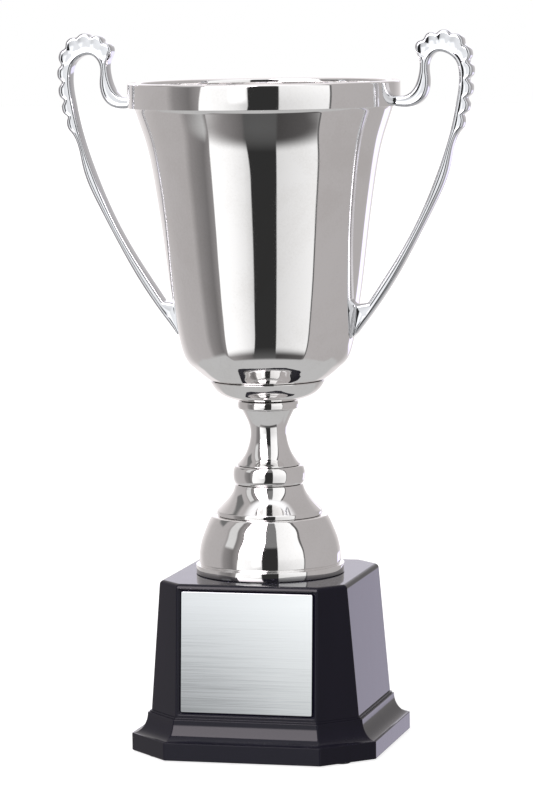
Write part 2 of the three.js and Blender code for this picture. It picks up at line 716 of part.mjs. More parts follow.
function makeTieRod() {
  const cupWasherSeat = bowlSeat + BOWL_WALL + GAP;
  const capNutSeat = cupWasherSeat + WASHER_THICKNESS + GAP;
  const baseWasherTop = bossEnd - GAP;
  const springWasherTop = baseWasherTop - WASHER_THICKNESS - GAP;
  const baseNutTop = springWasherTop - WASHER_THICKNESS - GAP;
  const rodLow = baseNutTop - NUT_HEIGHT - ROD_TAIL;
  const rodHigh = capNutSeat + CAP_NUT_HEIGHT;
  add(base, "tie_rod", bar(ROD_RADIUS, rodLow, rodHigh), STEEL);
  add(base, "cup_washer", washer(CUP_WASHER_RADIUS, WASHER_THICKNESS), STEEL, cupWasherSeat);
  const dome = new THREE.SphereGeometry(NUT_FLATS / 2 - EDGE, SMALL_TURNS, 8)
    .translate(0, 0, CAP_NUT_HEIGHT);
  const blind = bar(ROD_RADIUS + GAP, -1, CAP_NUT_HEIGHT + GAP);
  const capNut = carve(hexagon(NUT_FLATS, CAP_NUT_HEIGHT), [dome], [blind]);
  add(base, "cap_nut", capNut, STEEL, capNutSeat);
  const plate = washer(BASE_WASHER_RADIUS, WASHER_THICKNESS);
  add(base, "base_washer", plate, STEEL, baseWasherTop - WASHER_THICKNESS);
  add(base, "spring_washer", springWasher(), STEEL, springWasherTop - WASHER_THICKNESS);
  const through = bar(ROD_RADIUS + GAP, -1, NUT_HEIGHT + 1);
  const nut = carve(hexagon(NUT_FLATS, NUT_HEIGHT), [], [through]);
  add(base, "base_nut", nut, STEEL, baseNutTop - NUT_HEIGHT);
}

makePlinth();
makePlate();
makePedestal();
makeCup();
makeTieRod();

export default trophy;
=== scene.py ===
# %% [markdown]
# # A two-handled presentation cup on a moulded plinth
#
# The engineering model of this cup already exists: every piece has its size and its place there,
# but its round pieces have flat sides and its edges are plain. This lesson makes the pieces that
# a visitor sees, around that model: turned and polished metal, cast handles, a moulded plinth and
# a brushed plate. Loading the model comes first, because it gives each piece its place.

# %% Load the engineering model
import json
import math

import bmesh
import bpy
import numpy as np
from mathutils import Matrix, Vector

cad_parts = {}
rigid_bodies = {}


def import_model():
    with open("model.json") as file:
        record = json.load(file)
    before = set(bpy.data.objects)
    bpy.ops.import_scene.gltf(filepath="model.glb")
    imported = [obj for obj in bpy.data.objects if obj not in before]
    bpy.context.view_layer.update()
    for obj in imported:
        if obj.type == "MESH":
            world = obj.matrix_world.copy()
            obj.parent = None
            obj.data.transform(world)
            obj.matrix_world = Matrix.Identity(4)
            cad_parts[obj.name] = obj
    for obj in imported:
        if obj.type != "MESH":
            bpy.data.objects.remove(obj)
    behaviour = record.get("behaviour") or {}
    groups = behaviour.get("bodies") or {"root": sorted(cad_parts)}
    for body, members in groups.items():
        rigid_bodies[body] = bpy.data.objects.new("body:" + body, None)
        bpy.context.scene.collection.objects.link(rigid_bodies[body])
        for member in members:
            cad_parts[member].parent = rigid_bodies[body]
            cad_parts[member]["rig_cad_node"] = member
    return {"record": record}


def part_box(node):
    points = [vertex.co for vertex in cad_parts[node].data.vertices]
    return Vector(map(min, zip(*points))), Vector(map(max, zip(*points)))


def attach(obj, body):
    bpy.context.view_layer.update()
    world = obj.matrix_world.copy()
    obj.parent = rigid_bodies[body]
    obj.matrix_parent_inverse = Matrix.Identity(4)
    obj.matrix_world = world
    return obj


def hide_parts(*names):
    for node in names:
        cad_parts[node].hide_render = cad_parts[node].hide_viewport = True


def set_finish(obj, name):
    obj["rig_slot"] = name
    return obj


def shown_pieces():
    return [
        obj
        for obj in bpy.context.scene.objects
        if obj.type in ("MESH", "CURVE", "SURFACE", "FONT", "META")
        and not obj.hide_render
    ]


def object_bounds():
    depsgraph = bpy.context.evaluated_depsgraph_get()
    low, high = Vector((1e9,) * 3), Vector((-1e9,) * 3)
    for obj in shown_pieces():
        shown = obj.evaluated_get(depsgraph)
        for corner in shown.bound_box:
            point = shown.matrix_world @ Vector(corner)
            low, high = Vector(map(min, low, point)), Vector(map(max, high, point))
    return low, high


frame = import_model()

MM = 0.001
CAD_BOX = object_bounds()
print("the whole cup stands", round(CAD_BOX[1].z / MM, 1), "mm tall")

# %% [markdown]
# ## Curves and turned shapes
#
# A metal spinner presses a disc over a chuck, so the cup's bowl, stem and foot are all shapes
# turned about one axis. In Blender a turned shape could be a Screw modifier on a curve or a
# stack of cylinders. Here one profile is drawn and bmesh spins it, because the mesh is then
# final and the profile can be read in millimetres. Polished metal shows every kink in a profile,
# so the curves run through a few chosen points as a natural cubic spline, whose bend changes
# evenly.

# %% Curves through chosen points
def fair(points, count):
    """Even points on a natural cubic spline through the given [x, y] points."""
    given = np.array(points, float)
    run = np.concatenate([[0], np.cumsum(np.hypot(*np.diff(given, axis=0).T))])
    step = np.diff(run)
    system, known = np.eye(len(run)), np.zeros((len(run), 2))
    for i in range(1, len(run) - 1):
        system[i, i - 1:i + 2] = step[i - 1], 2 * (step[i - 1] + step[i]), step[i]
        slopes = np.diff(given[i - 1:i + 2], axis=0) / step[i - 1:i + 1, None]
        known[i] = 6 * (slopes[1] - slopes[0])
    bend = np.linalg.solve(system, known)
    drawn = []
    for s in np.linspace(0, run[-1], count):
        i = min(np.searchsorted(run, s, "right"), len(step)) - 1
        a, b = (run[i + 1] - s) / step[i], (s - run[i]) / step[i]
        curve = ((a**3 - a) * bend[i] + (b**3 - b) * bend[i + 1]) * step[i]**2 / 6
        drawn.append(tuple(a * given[i] + b * given[i + 1] + curve))
    return drawn


def arc(centre, half_axes, start, end, count):
    """Points on part of an ellipse, from and to an angle in quarter turns."""
    angles = np.linspace(start, end, count) * math.pi / 2
    return [(centre[0] + half_axes[0] * math.cos(t), centre[1] + half_axes[1] * math.sin(t))
            for t in angles]


print("a fair curve passes through its own points:", fair([(0, 0), (3, 1), (5, 4)], 3)[0])

# %% [markdown]
# ## From a mesh in the making to a piece
#
# Each piece ends in the same way. Doubled points are merged, the faces are turned outwards, and
# sharp corners get a small round, because a real edge is never razor sharp and the thin line of
# light along it is what makes metal look solid. Shading is smooth up to a corner. A flat face
# beside a small round would look bent, so pieces with flats also get Weighted Normal, which lets
# the larger face decide.

# %% Finish a piece
TURNS = 180  # steps round a large turned piece
SMALL_TURNS = 64  # and round a small one


def soften(bm, width, corner=28, segments=3, edges=None):
    """Round the edges that turn by more than a corner angle, in degrees."""
    sharp = [e for e in (edges or bm.edges)
             if len(e.link_faces) == 2 and e.calc_face_angle(0) > math.radians(corner)]
    bmesh.ops.bevel(bm, geom=sharp, affect="EDGES", offset=width, offset_type="OFFSET",
                    segments=segments, profile=0.5, material=-1, clamp_overlap=True)
    return len(sharp)


def make_piece(bm, name, slot, nodes, flats=False):
    """Turn a bmesh into an object that stands for CAD nodes and rides with them."""
    bmesh.ops.remove_doubles(bm, verts=bm.verts, dist=1e-6)
    bmesh.ops.recalc_face_normals(bm, faces=bm.faces)
    for face in bm.faces:
        face.smooth = True
    mesh = bpy.data.meshes.new(name)
    bm.to_mesh(mesh)
    bm.free()
    mesh.set_sharp_from_angle(angle=math.radians(32))
    piece = bpy.data.objects.new(name, mesh)
    bpy.context.scene.collection.objects.link(piece)
    if flats:
        piece.modifiers.new("even_shading", "WEIGHTED_NORMAL").keep_sharp = True
    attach(piece, "root")
    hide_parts(*nodes)
    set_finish(piece, slot)
    print(f"{name}: {len(mesh.polygons)} faces")
    return piece


def turned(profile, turns=TURNS, edge=0.25 * MM):
    """Spin a closed profile of (radius, height) points about Z and round its corners."""
    bm = bmesh.new()
    ring = [bm.verts.new((radius, 0, height)) for radius, height in profile]
    hoop = [bm.edges.new((ring[i - 1], ring[i])) for i in range(len(ring))]
    bmesh.ops.spin(bm, geom=ring + hoop, cent=(0, 0, 0), axis=(0, 0, 1),
                   angle=2 * math.pi, steps=turns, use_merge=True)
    bmesh.ops.remove_doubles(bm, verts=bm.verts, dist=1e-6)
    bmesh.ops.recalc_face_normals(bm, faces=bm.faces)
    soften(bm, edge)
    return bm


def join(bm, other):
    """Copy one bmesh into another, as a closed solid of its own."""
    mesh = bpy.data.meshes.new("joined")
    other.to_mesh(mesh)
    other.free()
    bm.from_mesh(mesh)
    bpy.data.meshes.remove(mesh)


def in_place(node, profile):
    """A profile in millimetres above a node's own underside, in metres in the frame."""
    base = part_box(node)[0].z
    return [(radius * MM, base + height * MM) for radius, height in profile]


# %% [markdown]
# ## The foot and the stem
#
# The pedestal is a stack of five pieces that one threaded rod clamps together: a domed foot, a
# flared skirt, a round ring, a waisted stem and a thin collar. They are separate pressings, so
# each one gets its own object with its own rounded lips, and the fine dark joints between them
# come from the real gaps and not from a texture.

# %% Foot
BORE = 3.5  # hole for the tie rod, radius in millimetres

foot_dome = fair([(42.5, 12.4), (41.02, 19.76), (38.44, 26.67), (36.2, 31.8), (34.7, 34.3)], 26)
foot_wall = [(radius - 2.5, height - 1) for radius, height in foot_dome[:-4]]
foot_profile = [
    (40.2, 0), (44.8, 0), (44.8, 5.3), (42.3, 5.4), (42.3, 6.1), (42.7, 6.5),
    *foot_dome, (33.6, 34.7), (BORE, 34.7), (BORE, 30.7), *foot_wall[::-1],
]
make_piece(turned(in_place("foot", foot_profile)), "foot_spun", "plated_metal", ["foot"])

# %% Skirt, ring, stem and collar
skirt_flare = fair([(31.6, 2.4), (29, 4.94), (24.93, 9.24), (21.77, 13.85), (20.3, 18.3)], 26)
skirt_profile = [(BORE, 0), (31.6, 0), *skirt_flare, (BORE, 18.3)]
knop_round = arc((19.6, 5.55), (2, 5.55), -1, 1, 20)
knop_profile = [(BORE, 0), *knop_round, (BORE, 11.1)]
stem_waist = fair([(19, 0.4), (15.72, 4), (13.42, 7.9), (11.78, 12.54), (10.8, 17.97),
                   (11.31, 23.73), (13.1, 28.3), (15.9, 33.9)], 48)
stem_profile = [(BORE, 0), (19, 0), *stem_waist, (BORE, 33.9)]
collar_round = arc((17.6, 2.3), (0.6, 2.3), -1, 1, 12)
collar_profile = [(BORE, 0), *collar_round, (BORE, 4.6)]
pedestal = {"stem_skirt": skirt_profile, "knop_ring": knop_profile,
            "stem": stem_profile, "collar_disc": collar_profile}
for node, profile in pedestal.items():
    make_piece(turned(in_place(node, profile)), f"{node}_spun", "plated_metal", [node])

# %% [markdown]
# ## The bowl
#
# The bowl is one spun sheet of metal a millimetre thick. Its wall is nearly straight and flares
# under the rim, and its bottom curls in to a small flat seat. One line gives the outside, and the
# inside is the same line moved in by the wall's thickness, square to it, which is what Solidify
# would do. Doing it on the profile keeps the lip and the bore clean.

# %% Bowl
WALL = 1.1 * MM
LIP_STEP = 0.5 * MM  # the lip behind the rim band stands out by this much
bowl_low, bowl_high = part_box("cup_body")
band_low, band_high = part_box("rim_band")
BOWL_RADIUS = bowl_high.x - LIP_STEP
BOWL_HEIGHT = band_low.z - bowl_low.z

bowl_shape = [(0.2, 0), (0.31, 0.006), (0.41, 0.028), (0.5, 0.056), (0.571, 0.084),
              (0.629, 0.113), (0.661, 0.152), (0.698, 0.235), (0.741, 0.36), (0.8, 0.572),
              (0.853, 0.741), (0.906, 0.867), (0.964, 0.951), (1, 1)]
bowl_line = [(radius * BOWL_RADIUS, bowl_low.z + height * BOWL_HEIGHT)
             for radius, height in fair(bowl_shape, 90)]


def wall_radius(height):
    """The bowl's outer radius at a height in the frame."""
    radii, heights = zip(*bowl_line)
    return float(np.interp(height, heights, radii))


def moved_in(line, wall):
    """A line of (radius, height) points moved to its left by a wall's thickness."""
    points = np.array(line)
    along = np.gradient(points, axis=0)
    along /= np.linalg.norm(along, axis=1)[:, None]
    return [tuple(p) for p in points + wall * np.stack([-along[:, 1], along[:, 0]], 1)]


lip_radius = BOWL_RADIUS + LIP_STEP
outside = [(BORE * MM, bowl_low.z), *bowl_line[1:], (lip_radius, band_low.z + LIP_STEP)]
inside = moved_in(outside, WALL)
inside[0] = (BORE * MM, bowl_low.z + WALL)
bowl_profile = [*outside, (lip_radius, bowl_high.z), (lip_radius - WALL, bowl_high.z),
                *inside[::-1]]
make_piece(turned(bowl_profile), "cup_body_spun", "plated_metal", ["cup_body"])

# %% [markdown]
# ## The saucer and the rim band
#
# A shallow saucer carries the bowl on the stem, and a straight band with a rolled top closes
# over the bowl's lip. Both follow the bowl's own line, so they are worked out from it.

# %% Saucer
GAP = 0.3 * MM
BEAD = 0.4 * MM  # radius of the saucer's lip
saucer_low, saucer_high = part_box("cup_saucer")
saucer_radius = saucer_high.x
seat = [(radius, height - GAP) for radius, height in bowl_line if radius < saucer_radius - MM]
lip = arc((saucer_radius - BEAD, saucer_high.z - BEAD), (BEAD, BEAD), 0, 1.35, 9)
rise = (saucer_high.z - BEAD - saucer_low.z) / MM
dish = fair([(17.2, 0), (21.84, rise * 0.12), (28.72, rise * 0.39), (32.3, rise * 0.7),
             (34.4, rise)], 36)
dish = [(radius * MM, saucer_low.z + height * MM) for radius, height in dish]
saucer_profile = [(BORE * MM, saucer_low.z), *dish[:-1], *lip, *seat[::-1],
                  (BORE * MM, seat[0][1])]
make_piece(turned(saucer_profile, edge=0.1 * MM), "cup_saucer_spun", "plated_metal",
           ["cup_saucer"])

# %% Rim band
BAND_ROOF = 1.3 * MM
band_radius = band_high.x
band_outside = lip_radius + 0.1 * MM
band_inside = lip_radius - WALL - 0.3 * MM
band_innermost = band_inside - 1.2 * MM
band_roof = band_high.z - BAND_ROOF
band_middle = (band_radius + band_innermost) / 2
crown = arc((band_middle, band_roof), (band_radius - band_middle, BAND_ROOF), 0, 2, 24)
band_profile = [
    (band_outside, band_low.z), (band_radius, band_low.z), *crown,
    (band_innermost, band_high.z - 5.5 * MM), (band_inside, band_high.z - 5.5 * MM),
    (band_inside, band_roof), (band_outside, band_roof),
]
make_piece(turned(band_profile), "rim_band_rolled", "plated_metal", ["rim_band"])

# %% [markdown]
# ## The handles
#
# Each handle is a flat casting: an S-shaped bar with a row of soft scallops round its crest, well
# rounded edges, and a panel on each face that lies a little deeper than its border. Two lines
# describe it, its inner and its outer edge, in millimetres out from the rim band and up from
# the band's lower edge. A filled outline with a bevel would do for a wide shape, but this bar
# is narrow, so a wide bevel would cross itself.

# %% Handle outline
HANDLE_HALF = 5  # half of its thickness, mm
WEB_TOP = 118.2  # how far below the band the leg meets the wall
TIP = 141  # and where it ends
SUNK = 0.7  # how deep the leg's foot goes into the wall

crook_inside = [
    (-0.4, -0.4), (9.6, -0.4), (15.7, 3.1), (19, 9.5), (19.5, 16), (19, 22.5), (20.1, 27),
    (24.5, 31.2), (31, 30.3), (36.3, 25.4), (37.8, 19.5), (36.4, 3.5), (32.2, -15.7),
    (24.8, -38.2), (15.1, -61.5), (1.7, -86.5), (-7.5, -100.8), (-18.4, -117),
]
leg_outside = [(-25.3, -135), (-16.3, -123.3), (-1.6, -101.6), (10.6, -80), (22.1, -58.2),
               (31, -36.5), (38.3, -14.7)]
valleys = [(39.7, -5.6), (41.9, 4.1), (43, 15.1), (43.2, 25.7), (40.6, 35.7), (33.6, 41.7),
           (24.3, 41.9), (17, 38.9), (13.8, 29.7)]
bulges = [1.6, 2.8, 3.1, 3.1, 3.1, 2.8, 2.7, 2.5, 3.8]
crook_outside = [(13.5, 28.9), (14.4, 24.5), (14.1, 20.5), (12.5, 14), (10, 9.3), (5.7, 6.2),
                 (-0.4, 5.8)]


def scalloped(ends, bulges, lift=0.4):
    """Round crests between a row of valley points, and the valleys a little filled."""
    points, line = np.array(ends), []
    along = np.diff(points, axis=0)
    out = np.stack([along[:, 1], -along[:, 0]], 1) / np.linalg.norm(along, axis=1)[:, None]
    for i, bulge in enumerate(bulges):
        line += [points[i] + along[i] * share + out[i] * bulge * height
                 for share, height in ((0.2, 0.7), (0.5, 1), (0.8, 0.7))]
        if i + 1 < len(bulges):
            line.append(points[i + 1] + (out[i] + out[i + 1]) / 2 * lift)
    return [tuple(p) for p in line]


foot_heights = np.linspace(band_low.z - WEB_TOP * MM, band_low.z - TIP * MM, 5)
handle_foot = [((wall_radius(z) - band_radius) / MM - SUNK, (z - band_low.z) / MM)
               for z in foot_heights]
inner_edge = fair(crook_inside, 240)
crest_line = scalloped([leg_outside[-1], *valleys], bulges)
outer_edge = fair([*leg_outside, *crest_line, *crook_outside], 520)
print("the handle's edges are drawn with", len(inner_edge) + len(outer_edge), "points")

# %% [markdown]
# Instead, one ring of points is extruded from the band to the bowl, and at each station it is
# laid out between the two edges. The ring holds the wide rounds and the sunk panel, and it gets
# narrower where the bar does. The round does most of the work in the look: it gathers the whole
# room into a few fine lines along each edge.

# %% Handle stations
SAMPLES = 900  # points that stand for each edge while the two are paired
STATIONS = 620  # rings along the bar
REACH = 6  # how far across the bar the other edge is expected, mm
STEADY = 41  # samples over which the pairing is evened out


def even(line, count):
    """The same line with evenly spaced points."""
    points = np.array(line)
    run = np.concatenate([[0], np.cumsum(np.hypot(*np.diff(points, axis=0).T))])
    places = np.linspace(0, run[-1], count)
    return np.stack([np.interp(places, run, points[:, i]) for i in (0, 1)], 1)


def stations(inner, outer):
    """Pairs of points on the two edges that lie square across from each other."""
    inner, outer = even(inner, SAMPLES), even(outer, SAMPLES)
    along = np.gradient(inner, axis=0)
    along /= np.linalg.norm(along, axis=1)[:, None]
    aims = inner + REACH * np.stack([-along[:, 1], along[:, 0]], 1)
    nearest = [np.argmin(np.linalg.norm(outer - aim, axis=1)) for aim in aims]
    nearest = np.maximum.accumulate(nearest).astype(float)
    nearest[-1] = len(outer) - 1
    padded = np.pad(nearest, STEADY // 2, "edge")
    steady = np.convolve(padded, np.ones(STEADY) / STEADY, "valid")
    steady[0], steady[-1] = 0, len(outer) - 1
    across = np.stack([np.interp(steady, range(len(outer)), outer[:, i]) for i in (0, 1)], 1)
    pairs = np.hstack([inner, across])
    run = np.concatenate([[0], np.cumsum(np.linalg.norm(np.diff(pairs, axis=0), axis=1))])
    places = np.linspace(0, run[-1], STATIONS)
    return np.stack([np.interp(places, run, pairs[:, i]) for i in range(4)], 1)


pairs = stations([*inner_edge, *handle_foot], outer_edge[::-1])
middle_pair = pairs[STATIONS // 2]
print("the bar is", round(math.dist(middle_pair[:2], middle_pair[2:]), 1), "mm wide at its middle")

# %% Handle section
ROUND = 1.9  # radius of its edges, mm
FLAT = 0.2  # the flat between a round and the panel
PANEL_SLOPE, PANEL_DEPTH = 0.35, 0.14
SPARE = 0.1  # the least width of the panel beyond its slope
quarter = [(0, 0), *arc((ROUND, HANDLE_HALF - ROUND), (ROUND, ROUND), 2, 1, 9),
           (ROUND + FLAT, HANDLE_HALF),
           (ROUND + FLAT + PANEL_SLOPE, HANDLE_HALF - PANEL_DEPTH)]


def lay_out(ring, pair):
    """Place a ring's points on the bar's section between an inner and an outer point."""
    inner, outer = Vector(pair[:2]), Vector(pair[2:])
    width = (outer - inner).length
    fit = min(1, width / 2 / (quarter[-1][0] + SPARE))
    near = [(depth * fit, -out) for depth, out in quarter]
    far = [(width - depth * fit, -out) for depth, out in quarter]
    section = [*near, *far[::-1], *[(d, -y) for d, y in far[1:]],
               *[(d, -y) for d, y in near[:0:-1]]]
    way = (outer - inner).normalized()
    for vert, (distance, y) in zip(ring, section):
        x, z = inner + way * distance
        vert.co = (band_radius + x * MM, y * MM, band_low.z + z * MM)


casting = bmesh.new()
ring = [casting.verts.new((i, 0, 0)) for i in range(4 * len(quarter) - 2)]
hoop = [casting.edges.new((ring[i - 1], ring[i])) for i in range(len(ring))]
casting.faces.new(ring)
lay_out(ring, pairs[0])
for pair in pairs[1:-3]:
    made = bmesh.ops.extrude_edge_only(casting, edges=hoop)["geom"]
    hoop = [e for e in made if isinstance(e, bmesh.types.BMEdge)
            and not any(v in ring for v in e.verts)]
    following = {v for e in hoop for v in e.verts}
    ring = [next(e.other_vert(v) for e in v.link_edges if e.other_vert(v) in following)
            for v in ring]
    lay_out(ring, pair)
casting.faces.new(ring)
print("the casting has", len(casting.faces), "faces")

# %% Both handles
for name, turn in {"handle_right": 0, "handle_left": math.pi}.items():
    handle_bm = casting.copy()
    bmesh.ops.rotate(handle_bm, verts=handle_bm.verts, cent=(0, 0, 0),
                     matrix=Matrix.Rotation(turn, 3, "Z"))
    make_piece(handle_bm, f"{name}_cast", "plated_metal", [name])
casting.free()

# %% [markdown]
# ## The plinth
#
# The plinth is one gloss moulding: a square with its corners cut, wide at the slab, drawn in by
# a hollow cove and two fine steps, then leaning in to a rounded top. One outline gives how far
# each level stands out, with its corners rounded. Eight points make the bottom face, and each
# level above it is one extrusion whose points are put on the next octagon. Lofting it as one
# skin keeps the long cove smooth where a stack of boxes would show joints.

# %% Plinth outline
plinth_low, plinth_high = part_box("plinth")
SLAB_HALF, SLAB_FACE = 75, 47.5
PILLAR_HALF, PILLAR_TOP_HALF, PILLAR_FACE = 63.7, 57.3, 42.9
SLAB_TOP, COVE_TOP, PILLAR_BASE = 10.5, 22.9, 25
COVE_HALF = 66
TOP = (plinth_high.z - plinth_low.z) / MM
HOLLOW_TOP = TOP - 3.5
SLOPE = (PILLAR_HALF - PILLAR_TOP_HALF) / (TOP - PILLAR_BASE)
CORNER = math.tan(math.pi / 8)  # an octagon's face narrows by this much for each mm inwards


def face_half(half):
    """Half the width of a flat face, which grows from the pillar down to the slab."""
    spread = max(half - PILLAR_HALF, 0) / (SLAB_HALF - PILLAR_HALF)
    drawn_in = max(PILLAR_TOP_HALF - half, 0)
    return PILLAR_FACE + (SLAB_FACE - PILLAR_FACE) * spread - CORNER * drawn_in


def pillar_half(height):
    """Half the pillar's width over its flats at a height in millimetres."""
    return PILLAR_HALF - SLOPE * (height - PILLAR_BASE)


def rounded(before, corner, after, radius, count):
    """Points on the round that replaces a corner between two straight runs."""
    before, corner, after = np.array(before), np.array(corner), np.array(after)
    ways = [(p - corner) / np.linalg.norm(p - corner) for p in (before, after)]
    half_angle = math.acos(np.clip(ways[0] @ ways[1], -1, 1)) / 2
    middle = (ways[0] + ways[1]) / np.linalg.norm(ways[0] + ways[1])
    centre = corner + middle * radius / math.sin(half_angle)
    ends = [corner + way * radius / math.tan(half_angle) - centre for way in ways]
    spokes = [ends[0] * (1 - t) + ends[1] * t for t in np.linspace(0, 1, count)]
    return [tuple(centre + spoke / np.linalg.norm(spoke) * radius) for spoke in spokes]


step_half, step_height = (COVE_HALF + PILLAR_HALF) / 2, (COVE_TOP + PILLAR_BASE) / 2
cove = arc((SLAB_HALF, COVE_TOP), (SLAB_HALF - COVE_HALF, COVE_TOP - SLAB_TOP), 2.93, 2, 22)
levels = [
    *rounded((0, 0), (SLAB_HALF, 0), (SLAB_HALF, 5), 0.5, 4),
    *rounded((SLAB_HALF, 0), (SLAB_HALF, cove[0][1] + 0.1), cove[0], 0.5, 4),
    *cove[:-1],
    *rounded(cove[-2], cove[-1], (step_half, COVE_TOP), 0.3, 4),
    (step_half, COVE_TOP),
    *rounded((step_half, COVE_TOP), (step_half, step_height), (PILLAR_HALF, step_height), 0.3, 4),
    (PILLAR_HALF, step_height), (PILLAR_HALF, PILLAR_BASE),
    *rounded((PILLAR_HALF, PILLAR_BASE), (PILLAR_TOP_HALF, TOP), (0, TOP), 2.8, 9),
]
print("the plinth's outline has", len(levels), "levels")


# %% Plinth shell
def put_on_octagon(verts, half, face, height):
    """Move eight points, one near each corner, to an octagon's corners."""
    for vert in verts:
        wide = abs(vert.co.x) > abs(vert.co.y)
        x, y = (half, face) if wide else (face, half)
        vert.co = (math.copysign(x * MM, vert.co.x), math.copysign(y * MM, vert.co.y),
                   plinth_low.z + height * MM)


def grow(bm, cap, half, face, height):
    """Extrude a cap face to the next octagon and return the new cap."""
    made = bmesh.ops.extrude_face_region(bm, geom=[cap, *cap.edges])["geom"]
    new = next(g for g in made if isinstance(g, bmesh.types.BMFace))
    put_on_octagon(new.verts, half, face, height)
    return new


corner_signs = [(2, 1), (1, 2), (-1, 2), (-2, 1), (-2, -1), (-1, -2), (1, -2), (2, -1)]
plinth_bm = bmesh.new()
underside = plinth_bm.faces.new([plinth_bm.verts.new((x, y, 0)) for x, y in corner_signs])
first_half, first_height = levels[0]
put_on_octagon(underside.verts, first_half, face_half(first_half), first_height)
cap = underside
for half, height in levels[1:]:
    cap = grow(plinth_bm, cap, half, face_half(half), height)
outer_corners = [e for e in plinth_bm.edges
                 if abs(e.verts[0].co.z - e.verts[1].co.z) > 1e-7]
print("the plinth's shell has", len(plinth_bm.faces), "faces")

# %% [markdown]
# The moulding is hollow underneath. Its cavity is cut the same way from below: one inset of the
# underside and two extrusions upwards. Only then are the eight outer corners rounded, because an
# inset needs the plain octagon.

# %% Plinth hollow and corners
PLINTH_WALL = 3.5
hollow_half, hollow_face = PILLAR_HALF - PLINTH_WALL, PILLAR_FACE - PLINTH_WALL * CORNER
bmesh.ops.recalc_face_normals(plinth_bm, faces=plinth_bm.faces)
bmesh.ops.inset_region(plinth_bm, faces=[underside], thickness=8 * MM)
put_on_octagon(underside.verts, hollow_half, hollow_face, 0)
cap = grow(plinth_bm, underside, hollow_half, hollow_face, PILLAR_BASE)
cap = grow(plinth_bm, cap, pillar_half(HOLLOW_TOP) - PLINTH_WALL, hollow_face, HOLLOW_TOP)
bmesh.ops.recalc_face_normals(plinth_bm, faces=plinth_bm.faces)
bmesh.ops.bevel(plinth_bm, geom=outer_corners, affect="EDGES", offset=0.5 * MM, segments=3,
                offset_type="OFFSET", profile=0.5, material=-1, clamp_overlap=False)
print("and", len(plinth_bm.faces), "with its hollow and rounded corners")

# %% [markdown]
# The engraving plate lies in a shallow recess. It is two insets of the front face: the first
# marks the recess's outer edge and its corners are put in place, and the second goes inwards as
# the sloping border. The border's four corners are rounded last. A boolean would cut the same
# recess, but insets leave clean strips that round well.

# %% Plinth recess
PLATE_HALF = (40, 35.8)
PLATE_CENTRE = 27.2 + PLATE_HALF[1]
PLATE_GAP = 0.3
RECESS_DEPTH = 1.3
BORDER = 1.6
MARK = 0.5 * MM  # an inset that only makes the strip; its points are placed afterwards
LEAN = math.atan(SLOPE)


def on_front(x, up, depth=0):
    """A point on the leaning front face, from the plate's centre, in metres."""
    y = -pillar_half(PLATE_CENTRE) + up * math.sin(LEAN) + depth * math.cos(LEAN)
    z = PLATE_CENTRE + up * math.cos(LEAN) + depth * -math.sin(LEAN)
    return Vector((x * MM, y * MM, plinth_low.z + z * MM))


def put_on_rectangle(face, margin, depth):
    """Move a face's four points to a rectangle round the plate, sunk by a depth."""
    middle = face.calc_center_median()
    for vert in face.verts:
        x = math.copysign(PLATE_HALF[0] + margin, vert.co.x)
        up = math.copysign(PLATE_HALF[1] + margin, vert.co.z - middle.z)
        vert.co = on_front(x, up, depth)


front = min(plinth_bm.faces, key=lambda f: f.calc_center_median().y
            if f.calc_area() > 0.004 and f.normal.z < 0.5 else 1)
for margin, depth in ((PLATE_GAP + BORDER, 0), (PLATE_GAP, RECESS_DEPTH)):
    bmesh.ops.inset_region(plinth_bm, faces=[front], thickness=MARK)
    put_on_rectangle(front, margin, depth)
border_corners = [e for v in front.verts for e in v.link_edges if front not in e.link_faces]
bmesh.ops.bevel(plinth_bm, geom=border_corners, affect="EDGES", offset=1.1 * MM, segments=4,
                offset_type="OFFSET", profile=0.5, material=-1, clamp_overlap=True)
in_recess = [e for e in plinth_bm.edges if all(
    v.co.y < -0.055 and abs(v.co.x) < (PLATE_HALF[0] + BORDER + 0.5) * MM
    and v.co.z > plinth_low.z + (PILLAR_BASE + 0.1) * MM for v in e.verts)]
soften(plinth_bm, 0.2 * MM, edges=in_recess, segments=3)
print("the recess is", 2 * (PLATE_HALF[0] + PLATE_GAP + BORDER), "mm wide at its mouth")

# %% [markdown]
# A boss and crossed ribs stiffen the roof of the hollow, where the tie rod's nut pulls. They are
# plain closed solids whose ends are sunk in the walls, which looks the same as joined metal
# and keeps every face tidy.

# %% Plinth ribs and boss
def add_bar(bm, size, centre):
    """A box with softened edges, joined to a mesh as a closed solid of its own."""
    verts = bmesh.ops.create_cube(bm, size=1)["verts"]
    bmesh.ops.scale(bm, vec=Vector(size), verts=verts)
    bmesh.ops.translate(bm, vec=Vector(centre), verts=verts)
    edges = list({e for v in verts for e in v.link_edges})
    bmesh.ops.bevel(bm, geom=edges, affect="EDGES", offset=0.3 * MM, segments=2,
                    offset_type="OFFSET", profile=0.5, material=-1, clamp_overlap=True)


RIB_WALL, RIB_HEIGHT, BOSS_RADIUS = 2.5 * MM, 9 * MM, 9 * MM
rib_length = 2 * (pillar_half(HOLLOW_TOP) - 2) * MM
rib_z = plinth_low.z + (HOLLOW_TOP - 3.5) * MM
add_bar(plinth_bm, (rib_length, RIB_WALL, RIB_HEIGHT), (0, 0, rib_z))
add_bar(plinth_bm, (RIB_WALL, rib_length, RIB_HEIGHT), (0, 0, rib_z))
boss_low, boss_high = (plinth_low.z + (HOLLOW_TOP + more) * MM for more in (-12, 1))
boss = [(BORE * MM, boss_low), (BOSS_RADIUS, boss_low), (BOSS_RADIUS, boss_high),
        (BORE * MM, boss_high)]
join(plinth_bm, turned(boss, SMALL_TURNS))
make_piece(plinth_bm, "plinth_moulded", "plinth_black", ["plinth"], flats=True)

